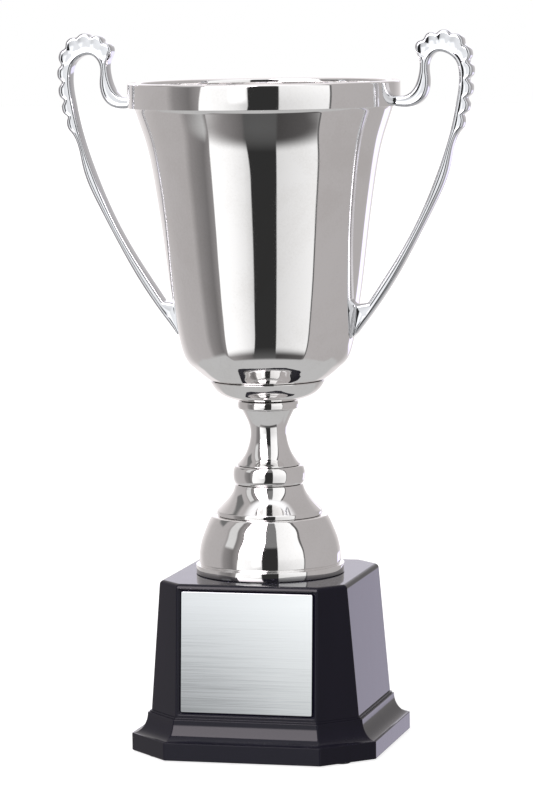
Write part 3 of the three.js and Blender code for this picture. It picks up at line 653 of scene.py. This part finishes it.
# %% [markdown]
# ## The engraving plate and the rubber feet
#
# The plate is thin brushed metal with a rounded edge that catches a white line. It is made flat
# and then leant onto the pillar's face. Four rubber feet stand under the slab.

# %% Plate
PLATE_THICKNESS = 0.7
plate_bm = bmesh.new()
bmesh.ops.create_cube(plate_bm, size=1)
bmesh.ops.scale(plate_bm, verts=plate_bm.verts,
                vec=(2 * PLATE_HALF[0] * MM, PLATE_THICKNESS * MM, 2 * PLATE_HALF[1] * MM))
upright = [e for e in plate_bm.edges if abs(e.verts[0].co.y - e.verts[1].co.y) > 0.1 * MM]
bmesh.ops.bevel(plate_bm, geom=upright, affect="EDGES", offset=0.8 * MM, segments=5,
                offset_type="OFFSET", profile=0.5, material=-1, clamp_overlap=True)
soften(plate_bm, 0.2 * MM)
bmesh.ops.rotate(plate_bm, verts=plate_bm.verts, cent=(0, 0, 0),
                 matrix=Matrix.Rotation(-LEAN, 3, "X"))
plate_middle = on_front(0, 0, 0.1 + PLATE_THICKNESS / 2)
bmesh.ops.translate(plate_bm, verts=plate_bm.verts, vec=plate_middle)
make_piece(plate_bm, "engraving_plate_brushed", "plate_silver", ["engraving_plate"], flats=True)

# %% Rubber feet
for number in range(1, 5):
    node = f"rubber_foot_{number}"
    low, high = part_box(node)
    centre = (low + high) / 2
    radius, height = (high.x - low.x) / 2, high.z - low.z
    profile = [(0, low.z), (radius - 0.8 * MM, low.z), (radius, low.z + 0.8 * MM),
               (radius, high.z), (0, high.z)]
    pad_bm = turned(profile, SMALL_TURNS)
    bmesh.ops.translate(pad_bm, verts=pad_bm.verts, vec=(centre.x, centre.y, 0))
    make_piece(pad_bm, f"{node}_moulded", "rubber", [node])

# %% [markdown]
# ## The nut and washer inside the bowl
#
# Looking down into the bowl one sees a domed nut on a washer, and the heads of the four screws
# that hold the handles. The nut is a six-sided bar with slightly rounded edges, with a
# dome spun on top of it.

# %% Cap nut and washer
nut_low, nut_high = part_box("cap_nut")
ACROSS_FLATS = 10 * MM
HEX_HEIGHT = 5.5 * MM


def add_hexagon(bm, flats, low, high):
    """A six-sided bar along Z."""
    made = bmesh.ops.create_circle(bm, cap_ends=True, segments=6, radius=flats / math.sqrt(3))
    bmesh.ops.translate(bm, verts=made["verts"], vec=(0, 0, low))
    base = made["verts"][0].link_faces[0]
    top = bmesh.ops.extrude_face_region(bm, geom=[base])["geom"]
    risen = [g for g in top if isinstance(g, bmesh.types.BMVert)]
    bmesh.ops.translate(bm, verts=risen, vec=(0, 0, high - low))


nut_bm = bmesh.new()
add_hexagon(nut_bm, ACROSS_FLATS, nut_low.z, nut_low.z + HEX_HEIGHT)
bmesh.ops.recalc_face_normals(nut_bm, faces=nut_bm.faces)
soften(nut_bm, 0.35 * MM)
dome_radius = ACROSS_FLATS / 2 - 0.3 * MM
dome_line = arc((0, nut_low.z + HEX_HEIGHT), (dome_radius, nut_high.z - nut_low.z - HEX_HEIGHT),
                0, 1, 16)
dome = [(0, nut_low.z + HEX_HEIGHT - MM), (dome_radius, nut_low.z + HEX_HEIGHT - MM),
        *dome_line[:-1], (0, nut_high.z)]
join(nut_bm, turned(dome, SMALL_TURNS))
make_piece(nut_bm, "cap_nut_domed", "fastener_steel", ["cap_nut"], flats=True)

washer_profile = [(3.3, 0), (9, 0), (9, 1.6), (3.3, 1.6)]
make_piece(turned(in_place("cup_washer", washer_profile), SMALL_TURNS), "cup_washer_pressed",
           "fastener_steel", ["cup_washer"])

# %% [markdown]
# ## Finishes: what they share
#
# No real surface is one number. Fine polishing lines, smudges from hands and a little settled
# dust are on every piece of a cup that has stood on a shelf, each at its own strength. Each
# effect is a shader node group, built once and placed in the materials that need it. Texture
# images could do the same, but a procedure has no resolution and no seams.

# %% Node helpers
def new_group(name, inputs, outputs):
    """An empty shader node group with named sockets; returns it with its two end nodes."""
    tree = bpy.data.node_groups.new(name, "ShaderNodeTree")
    for label, kind, default in inputs:
        socket = tree.interface.new_socket(name=label, in_out="INPUT", socket_type=kind)
        if default is not None:
            socket.default_value = default
    for label, kind in outputs:
        tree.interface.new_socket(name=label, in_out="OUTPUT", socket_type=kind)
    return tree, tree.nodes.new("NodeGroupInput"), tree.nodes.new("NodeGroupOutput")


def node(tree, kind, settings=None, **inputs):
    """A node with its settings and its inputs: a socket is linked, anything else is a value."""
    made = tree.nodes.new(kind)
    for key, value in (settings or {}).items():
        setattr(made, key, value)
    for key, value in inputs.items():
        label = key.replace("_", " ")
        socket = made.inputs[int(key[1:])] if key[0] == "i" and key[1:].isdigit() \
            else made.inputs[label]
        if isinstance(value, bpy.types.NodeSocket):
            tree.links.new(value, socket)
        else:
            socket.default_value = value
    return made


def maths(tree, operation, first, second=0.0, third=0.0, clamp=False):
    """One Math node's result."""
    return node(tree, "ShaderNodeMath", {"operation": operation, "use_clamp": clamp},
                i0=first, i1=second, i2=third).outputs[0]


def remap(tree, value, old, new, smooth=False):
    """One Map Range node's result, clamped to the new range."""
    kind = "SMOOTHSTEP" if smooth else "LINEAR"
    made = node(tree, "ShaderNodeMapRange", {"interpolation_type": kind}, Value=value)
    for label, number in zip(("From Min", "From Max", "To Min", "To Max"), (*old, *new)):
        if isinstance(number, bpy.types.NodeSocket):
            tree.links.new(number, made.inputs[label])
        else:
            made.inputs[label].default_value = number
    return made.outputs["Result"]


def noise(tree, vector, scale, detail=4.0, roughness=0.55, distortion=0.0):
    """One Noise Texture's factor."""
    return node(tree, "ShaderNodeTexNoise", None, Vector=vector, Scale=scale, Detail=detail,
                Roughness=roughness, Distortion=distortion).outputs["Fac"]


def stretched(tree, vector, scale):
    """A vector scaled along its axes, so that a noise on it turns into streaks."""
    return node(tree, "ShaderNodeMapping", None, Vector=vector, Scale=scale).outputs[0]


# %% Smudges, polishing lines and dust
SMUDGES, group_in, group_out = new_group(
    "handling_smudges",
    [("Vector", "NodeSocketVector", None), ("Scale", "NodeSocketFloat", 18.0)],
    [("Mask", "NodeSocketFloat")])
patches = noise(SMUDGES, group_in.outputs["Vector"], group_in.outputs["Scale"], 5, 0.6, 0.8)
fine = noise(SMUDGES, group_in.outputs["Vector"], 700.0, 3, 0.6)
grainy = maths(SMUDGES, "MULTIPLY_ADD", fine, 0.35, maths(SMUDGES, "SUBTRACT", patches, 0.17))
SMUDGES.links.new(remap(SMUDGES, grainy, (0.42, 0.72), (0, 1), True), group_out.inputs["Mask"])

LINES, group_in, group_out = new_group(
    "polishing_lines",
    [("Vector", "NodeSocketVector", None), ("Scale", "NodeSocketFloat", 1.0)],
    [("Mask", "NodeSocketFloat"), ("Height", "NodeSocketFloat")])
drawn = node(LINES, "ShaderNodeVectorMath", {"operation": "SCALE"},
             i0=group_in.outputs["Vector"], Scale=group_in.outputs["Scale"]).outputs[0]
close = noise(LINES, drawn, 1.0, 6, 0.7)
broad = noise(LINES, drawn, 0.15, 3, 0.5)
LINES.links.new(remap(LINES, close, (0.35, 0.7), (0, 1)), group_out.inputs["Mask"])
LINES.links.new(maths(LINES, "MULTIPLY_ADD", broad, 0.6, close), group_out.inputs["Height"])

DUST, group_in, group_out = new_group(
    "settled_dust", [("Vector", "NodeSocketVector", None), ("Amount", "NodeSocketFloat", 0.3)],
    [("Mask", "NodeSocketFloat")])
facing_up = node(DUST, "ShaderNodeSeparateXYZ", None,
                 Vector=node(DUST, "ShaderNodeNewGeometry").outputs["Normal"]).outputs["Z"]
lying = remap(DUST, facing_up, (0.55, 0.98), (0, 1), True)
specks = remap(DUST, noise(DUST, group_in.outputs["Vector"], 900.0, 2, 0.5), (0.6, 0.74), (0, 1))
film = remap(DUST, noise(DUST, group_in.outputs["Vector"], 30.0, 4, 0.6), (0.3, 0.8), (0, 0.4))
settled = maths(DUST, "MULTIPLY", maths(DUST, "ADD", specks, film), lying)
DUST.links.new(maths(DUST, "MULTIPLY", settled, group_in.outputs["Amount"], clamp=True),
               group_out.inputs["Mask"])
print("shared effects:", ", ".join(g.name for g in bpy.data.node_groups))

# %% [markdown]
# ## Finishes: a material for each
#
# A Principled BSDF makes each finish. The plate on the cup is a mirror: metallic, nearly white,
# a trace warmer than silver, with a roughness so low that only smudges and dust lift it. What
# the eye reads as chrome is the room in it, and that is set later. The handles get a darker,
# bluer copy of the same plating: painted shade that dims their reflection.

# %% Material helpers
def new_material(name, metallic, colour):
    """A material with its Principled shader and object coordinates."""
    material = bpy.data.materials.new(name)
    material.use_nodes = True
    material.diffuse_color = (*colour, 1)
    tree = material.node_tree
    shader = tree.nodes["Principled BSDF"]
    shader.inputs["Metallic"].default_value = metallic
    place = tree.nodes.new("ShaderNodeTexCoord").outputs["Object"]
    return material, tree, shader, place


def placed(tree, group, **inputs):
    """A shared effect placed in a material."""
    return node(tree, "ShaderNodeGroup", {"node_tree": group}, **inputs).outputs


def blended(tree, factor, first, second):
    """Two colours mixed by a factor."""
    made = node(tree, "ShaderNodeMix", {"data_type": "RGBA"}, Factor=factor)
    colours = [s for s in made.inputs if s.type == "RGBA"]
    for socket, value in zip(colours, (first, second)):
        if isinstance(value, bpy.types.NodeSocket):
            tree.links.new(value, socket)
        else:
            socket.default_value = (*value, 1)
    return next(s for s in made.outputs if s.type == "RGBA")


def finish(tree, shader, colour, roughness, height, distance):
    """Send a colour, a roughness and a bumped height in metres to the shader."""
    bump = node(tree, "ShaderNodeBump", None, Height=height, Distance=distance, Strength=1.0)
    for label, socket in {"Base Color": colour, "Roughness": roughness,
                          "Normal": bump.outputs["Normal"]}.items():
        tree.links.new(socket, shader.inputs[label])


# %% Plated metal
def plated_metal(name, wobble, stretch, clean, smudged):
    """Mirror plate over polished metal; wobble is the depth of its waviness in metres."""
    material, tree, shader, place = new_material(name, 1.0, (0.9, 0.89, 0.88))
    smudge = placed(tree, SMUDGES, Vector=place, Scale=16.0)["Mask"]
    lines = placed(tree, LINES, Vector=stretched(tree, place, stretch), Scale=1.0)
    dust = placed(tree, DUST, Vector=place, Amount=0.35)["Mask"]
    plate = blended(tree, smudge, clean, smudged)
    colour = blended(tree, dust, plate, (0.62, 0.6, 0.57))
    hazed = maths(tree, "MULTIPLY_ADD", smudge, 0.035, 0.022)
    scratched = maths(tree, "MULTIPLY_ADD", lines["Mask"], 0.02, hazed)
    roughness = maths(tree, "MULTIPLY_ADD", dust, 0.4, scratched)
    slow = noise(tree, place, 22.0, 2, 0.5)
    height = maths(tree, "MULTIPLY_ADD", lines["Height"], 0.01, slow)
    finish(tree, shader, colour, roughness, height, wobble)
    return material


TURNED_PLATE = plated_metal("plated_turned", 0.00006, (40, 40, 1600),
                            (0.955, 0.945, 0.942), (0.9, 0.885, 0.875))
# Painted shade: the handles' copy of the plating is darker and bluer, which dims their reflection.
SHADED_CAST_PLATE = plated_metal("plated_cast_painted_shade", 0.00012, (500, 500, 500),
                          (0.77, 0.785, 0.815), (0.7, 0.71, 0.735))

# %% Plinth moulding
material, tree, shader, place = new_material("plinth_black", 0.0, (0.012, 0.012, 0.02))
smudge = placed(tree, SMUDGES, Vector=place, Scale=9.0)["Mask"]
dust = placed(tree, DUST, Vector=place, Amount=0.08)["Mask"]
flow = noise(tree, stretched(tree, place, (30, 30, 9)), 1.0, 3, 0.5, 1.2)
resin = blended(tree, flow, (0.003, 0.003, 0.008), (0.006, 0.005, 0.012))
colour = blended(tree, dust, resin, (0.2, 0.19, 0.19))
gloss = maths(tree, "MULTIPLY_ADD", smudge, 0.04, 0.055)
roughness = maths(tree, "MULTIPLY_ADD", dust, 0.5, gloss)
shader.inputs["IOR"].default_value = 1.33
shader.inputs["Sheen Weight"].default_value = 0.75
shader.inputs["Sheen Roughness"].default_value = 0.12
shader.inputs["Sheen Tint"].default_value = (0.86, 0.85, 1, 1)
peel = maths(tree, "MULTIPLY_ADD", noise(tree, place, 260.0, 3, 0.5), 0.15, flow)
finish(tree, shader, colour, roughness, peel, 0.00004)
MOULDING = material

# %% [markdown]
# The plate is brushed from side to side. Noise stretched along X gives the strokes, once fine
# for the roughness and the bump and once broad for the darker streaks. The sheet's colour is
# painted lighter to the right and darker towards the lower left, a painted light and shade that
# stands in for its reflection. The streaks gather there too, so both follow object coordinates.

# %% Brushed plate
material, tree, shader, place = new_material("plate_brushed", 1.0, (0.8, 0.81, 0.83))
strokes = noise(tree, stretched(tree, place, (12, 60, 2600)), 1.0, 3, 0.5)
streaks = noise(tree, stretched(tree, place, (18, 40, 2400)), 1.0, 5, 0.6, 0.2)
across, _, upwards = node(tree, "ShaderNodeSeparateXYZ", None, Vector=place).outputs
# Painted shade: the dark streaks are weighted towards the lower left, where the colour is painted
# darker; the streaks themselves are grain.
painted_shade_lower_left = maths(tree, "MULTIPLY", remap(tree, across, (-0.02, 0.04), (1, 0.3)),
              remap(tree, upwards, (0.035, 0.085), (0.75, 0.06)))
streaks_and_painted_shade = maths(tree, "MULTIPLY", remap(tree, streaks, (0.45, 0.68), (0.1, 1)), painted_shade_lower_left)
# Painted light: the sheet's colour is lighter to the right.
lit = blended(tree, remap(tree, across, (-0.04, 0.04), (0, 1)), (0.66, 0.685, 0.705),
              (0.72, 0.745, 0.755))
# Painted shade: the colour darkens towards the bottom and the left.
shade = maths(tree, "MULTIPLY", remap(tree, across, (-0.04, 0.02), (1, 0.65)),
              remap(tree, upwards, (0.094, 0.03), (0, 0.75)))
painted_light_and_shade = blended(tree, shade, lit, (0.18, 0.19, 0.195))
pale = blended(tree, streaks_and_painted_shade, painted_light_and_shade, (0.22, 0.23, 0.235))
colour = blended(tree, remap(tree, strokes, (0.35, 0.75), (0, 0.12)), pale, (0.6, 0.62, 0.64))
smudge = placed(tree, SMUDGES, Vector=place, Scale=30.0)["Mask"]
satin = maths(tree, "MULTIPLY_ADD", strokes, 0.05, 0.075)
roughness = maths(tree, "MULTIPLY_ADD", smudge, 0.02, satin)
finish(tree, shader, colour, roughness, strokes, 0.000002)
BRUSHED = material

# %% Zinc fasteners
material, tree, shader, place = new_material("fastener_zinc", 1.0, (0.55, 0.55, 0.54))
smudge = placed(tree, SMUDGES, Vector=place, Scale=60.0)["Mask"]
lines = placed(tree, LINES, Vector=stretched(tree, place, (900, 900, 900)), Scale=1.0)
colour = blended(tree, smudge, (0.66, 0.67, 0.66), (0.46, 0.46, 0.42))
roughness = maths(tree, "MULTIPLY_ADD", lines["Mask"], 0.2, 0.24)
finish(tree, shader, colour, roughness, lines["Height"], 0.00004)
ZINC = material

# %% Rubber and tape
material, tree, shader, place = new_material("rubber_matt", 0.0, (0.02, 0.02, 0.02))
grain = noise(tree, place, 2200.0, 4, 0.6)
dust = placed(tree, SMUDGES, Vector=place, Scale=120.0)["Mask"]
colour = blended(tree, dust, (0.012, 0.012, 0.012), (0.05, 0.048, 0.045))
roughness = remap(tree, grain, (0.3, 0.7), (0.68, 0.9))
finish(tree, shader, colour, roughness, grain, 0.00008)
RUBBER = material

material, tree, shader, place = new_material("adhesive_tape", 0.0, (0.8, 0.79, 0.74))
grain = noise(tree, place, 900.0, 3, 0.6)
colour = blended(tree, grain, (0.74, 0.72, 0.66), (0.84, 0.83, 0.79))
roughness = remap(tree, grain, (0.3, 0.7), (0.5, 0.75))
finish(tree, shader, colour, roughness, grain, 0.00003)
TAPE = material

# %% Give each piece its finish
CAD_SLOTS = {row["node"]: row["material_slot"] for row in frame["record"]["subparts"]}


def finish_of(piece):
    """The material for a shown piece, by what it is."""
    slot = piece.get("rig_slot") or CAD_SLOTS[piece["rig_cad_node"]]
    if slot == "plated_metal":
        return SHADED_CAST_PLATE if piece.name.startswith("handle") else TURNED_PLATE
    return {"plinth_black": MOULDING, "plate_silver": BRUSHED, "fastener_steel": ZINC,
            "rubber": RUBBER, "adhesive": TAPE}[slot]


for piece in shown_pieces():
    piece.data.materials.clear()
    piece.data.materials.append(finish_of(piece))

# %% [markdown]
# ## The studio
#
# A mirror shows its surroundings, so lighting polished metal means building a room. Two tall
# soft boxes stand left and right of the camera, with a dark gap between them, grey walls beside
# them and a pale floor below. Area lights could be the boxes, but a procedural world can give
# each one its own gradient and soft edge. Every panel is a patch of direction: azimuth from the
# camera, positive to the right, and elevation above the horizon, both in degrees.

# %% Camera
CAMERA_AZIMUTH, CAMERA_DISTANCE, CAMERA_HEIGHT = 14.392, 2.2552, 0.4545
CAMERA_HEADING, CAMERA_PITCH, CAMERA_ROLL = 14.416, -6.234, -0.806
azimuth = math.radians(CAMERA_AZIMUTH)
camera_data = bpy.data.cameras.new("camera")
camera_data.lens = 169.69
camera_data.sensor_width = 36
camera_data.clip_end = 100
camera = bpy.data.objects.new("camera", camera_data)
turn = (Matrix.Rotation(math.radians(CAMERA_HEADING), 4, "Z")
        @ Matrix.Rotation(math.radians(90 + CAMERA_PITCH), 4, "X")
        @ Matrix.Rotation(math.radians(CAMERA_ROLL), 4, "Z"))
place = Matrix.Translation((CAMERA_DISTANCE * math.sin(azimuth),
                            -CAMERA_DISTANCE * math.cos(azimuth), CAMERA_HEIGHT))
camera.matrix_world = place @ turn
bpy.context.scene.collection.objects.link(camera)
bpy.context.scene.camera = camera
print("the camera stands", CAMERA_DISTANCE, "m away")

# %% World directions
world = bpy.data.worlds.new("studio")
bpy.context.scene.world = world
world.use_nodes = True
room = world.node_tree
room.nodes.clear()
direction = room.nodes.new("ShaderNodeTexCoord").outputs["Generated"]
facing = node(room, "ShaderNodeVectorRotate", {"rotation_type": "Z_AXIS"},
              Vector=direction, Angle=-azimuth).outputs[0]
east, north, up = node(room, "ShaderNodeSeparateXYZ", None, Vector=facing).outputs
DEGREES = 180 / math.pi
around = maths(room, "ARCTAN2", east, maths(room, "MULTIPLY", north, -1.0))
AZIMUTH = maths(room, "MULTIPLY", around, DEGREES)
ELEVATION = maths(room, "MULTIPLY", maths(room, "ARCSINE", up), DEGREES)

# %% Walls
def by_stops(value, stops, tint=(1, 1, 1)):
    """A colour that follows a value through (place, level) stops."""
    low, high = stops[0][0], stops[-1][0]
    made = node(room, "ShaderNodeValToRGB", None,
                Fac=remap(room, value, (low, high), (0, 1)))
    elements = made.color_ramp.elements
    elements.remove(elements[-1])
    for i, (place, level) in enumerate(stops):
        position = (place - low) / (high - low)
        stop = elements[0] if i == 0 else elements.new(position)
        stop.position = position
        stop.color = (*(level * part for part in tint), 1)
    return made.outputs["Color"]


WALLS = [  # azimuth and the wall's brightness there
    (-180, 0.9), (-162, 0.84), (-150, 0.66), (-138, 0.5), (-120, 0.45), (-90, 0.43),
    (-82, 0.26), (-66, 0.17), (-56, 0.3), (-16, 0.1), (-10, 0.06), (-4, 0.028), (8, 0.02),
    (13, 0.06), (56, 0.1), (59, 0.44), (132, 0.43), (142, 0.44), (158, 0.62), (180, 0.95),
]
wall = by_stops(AZIMUTH, WALLS, tint=(1.03, 0.985, 0.985))
print(len(WALLS), "stops of wall")

# %% [markdown]
# The boxes' edges lean a little with elevation, as they would in the corner of a real room, and
# they are brighter at one side, because each is lit from one end. High up, the left box is many
# times brighter: the metal is white there anyway, and the black plinth, which gives back only
# a few hundredths, needs it to show a band of light. A mask for a panel is the product of four
# soft steps.

# %% Soft boxes
def step_at(value, place, soft):
    """0 below a place and 1 above it, through a soft edge."""
    return remap(room, maths(room, "SUBTRACT", value, place), (-soft, soft), (0, 1), True)


def between(value, low, high, soft):
    """1 between two places and 0 outside them."""
    below_high = maths(room, "SUBTRACT", 1.0, step_at(value, high, soft))
    return maths(room, "MULTIPLY", step_at(value, low, soft), below_high)


def hang(picture, sides, ends, level, soft=0.7, soft_ends=3.0):
    """Hang a panel in front of the room so far, between two azimuths and two elevations."""
    mask = maths(room, "MULTIPLY", between(AZIMUTH, *sides, soft),
                 between(ELEVATION, *ends, soft_ends))
    if isinstance(level, float):
        level = (level, level, level)
    return blended(room, mask, picture, level)


def leaning(*stops):
    """A number that follows elevation through (elevation, number) stops."""
    low = min(number for _, number in stops)
    span = max(number for _, number in stops) - low
    shares = by_stops(ELEVATION, [(place, (number - low) / span) for place, number in stops])
    return maths(room, "MULTIPLY_ADD", shares, span, low)


gap = leaning((-56, 0.33), (-52, 0.33), (-44, 0.13), (-36, 0.08), (-30, 0.03), (22, 0.03),
              (27, 0.21), (60, 0.21))
picture = blended(room, between(AZIMUTH, -22, 13, 2.0), wall, gap)

left_side = leaning((-50, -62.5), (70, -44.5))
left_inner = leaning((-50, -22), (-36, -20), (-22, -15.5), (-12, -13.5), (12, -14), (36, -9),
                     (70, -6))
left_low = by_stops(AZIMUTH, [(-60, 1.18), (-36, 1.02), (-23, 0.86), (-14, 0.66)])
left_middle = by_stops(AZIMUTH, [(-60, 1.1), (-31, 1.04), (-27, 1.4), (-19, 1.3), (-14, 0.95)])
left_high = blended(room, step_at(ELEVATION, 10.0, 4.0), left_middle, (6.8, 6.3, 6.6))
left_level = blended(room, step_at(ELEVATION, -8.0, 4.0), left_low, left_high)
picture = hang(picture, (left_side, left_inner), (-33.0, 64.0), left_level, soft_ends=4.0)

right_inner = leaning((-50, 12), (70, 13))
right_side = leaning((-50, 57), (4, 57), (70, 50.4))
right_low = by_stops(AZIMUTH, [(12, 0.72), (57, 0.92)])
right_high = by_stops(AZIMUTH, [(12, 0.95), (57, 1.12)])
right_level = blended(room, step_at(ELEVATION, 2.0, 16.0), right_low, right_high)
picture = hang(picture, (right_inner, right_side), (-33.0, 64.0), right_level, soft_ends=4.0)
picture = hang(picture, (57.0, 58.6), (-60.0, 60.0), 0.12, soft=0.4)
print("two soft boxes hung")

# %% [markdown]
# Smaller things make it a room: a lit doorway and a dark shelf to the left, low pale panels
# behind the cup that graze the plinth's side and top, a pale ceiling, and the table that the
# cup stands on, whose far edge is higher at the sides.

# %% Patches, ceiling and floor
picture = hang(picture, (-84.0, -66.0), (16.0, 56.0), 0.7, soft=2.0)
picture = hang(picture, (-126.0, -105.0), (24.0, 50.0), 0.17, soft=3.0)
picture = hang(picture, (143.0, 160.0), (-14.0, -5.5), (1.12, 1.06, 1.3), 1.5, 1.0)
for sides in ((162.0, 181.0), (-181.0, -166.0)):
    picture = hang(picture, sides, (5.0, 15.0), (1.3, 1.26, 1.4), 2.0, 1.5)
picture = blended(room, step_at(ELEVATION, 62.0, 5.0), picture, (1.1, 1.1, 1.12))
floor_edge = by_stops(AZIMUTH, [(-180, 0.6), (-112, 0.6), (-104, 0.64), (-64, 0.64), (-56, 0.86),
                                (56, 0.86), (62, 0.8), (106, 0.8), (112, 0.6), (180, 0.6)])
below = maths(room, "MULTIPLY", ELEVATION, -1 / 50)
on_floor = remap(room, maths(room, "SUBTRACT", below, floor_edge), (-0.05, 0.05), (0, 1), True)
picture = blended(room, on_floor, picture, (0.51, 0.51, 0.51))

# %% [markdown]
# The camera itself sees plain white behind the cup, and only reflections and light see the
# room. A Light Path node tells the two apart. The floor is white too, and lies just under the
# rubber feet. It is hidden from reflections, because the world already holds a floor there.

# %% White backdrop and floor
seen = node(room, "ShaderNodeLightPath").outputs["Is Camera Ray"]
backdrop = blended(room, seen, picture, (1.0, 1.0, 1.0))
background = node(room, "ShaderNodeBackground", None, Color=backdrop, Strength=1.0)
output = room.nodes.new("ShaderNodeOutputWorld")
room.links.new(background.outputs[0], output.inputs["Surface"])

floor_bm = bmesh.new()
bmesh.ops.create_grid(floor_bm, x_segments=1, y_segments=1, size=12)
bmesh.ops.translate(floor_bm, verts=floor_bm.verts, vec=(0, 0, CAD_BOX[0].z - 0.05 * MM))
floor_mesh = bpy.data.meshes.new("studio_floor")
floor_bm.to_mesh(floor_mesh)
floor_bm.free()
floor = bpy.data.objects.new("studio_floor", floor_mesh)
bpy.context.scene.collection.objects.link(floor)
floor.visible_glossy = False
floor.visible_diffuse = False

material, tree, shader, place = new_material("studio_paper", 0.0, (0.9, 0.9, 0.9))
shader.inputs["Base Color"].default_value = (0.35, 0.35, 0.35, 1)
shader.inputs["Roughness"].default_value = 0.9
shader.inputs["Specular IOR Level"].default_value = 0.0
shader.inputs["Emission Color"].default_value = (1, 1, 1, 1)
shader.inputs["Emission Strength"].default_value = 0.82
floor_mesh.materials.append(material)
bpy.context.scene.view_settings.view_transform = "Standard"
print("the floor lies at", round(CAD_BOX[0].z / MM, 2), "mm")
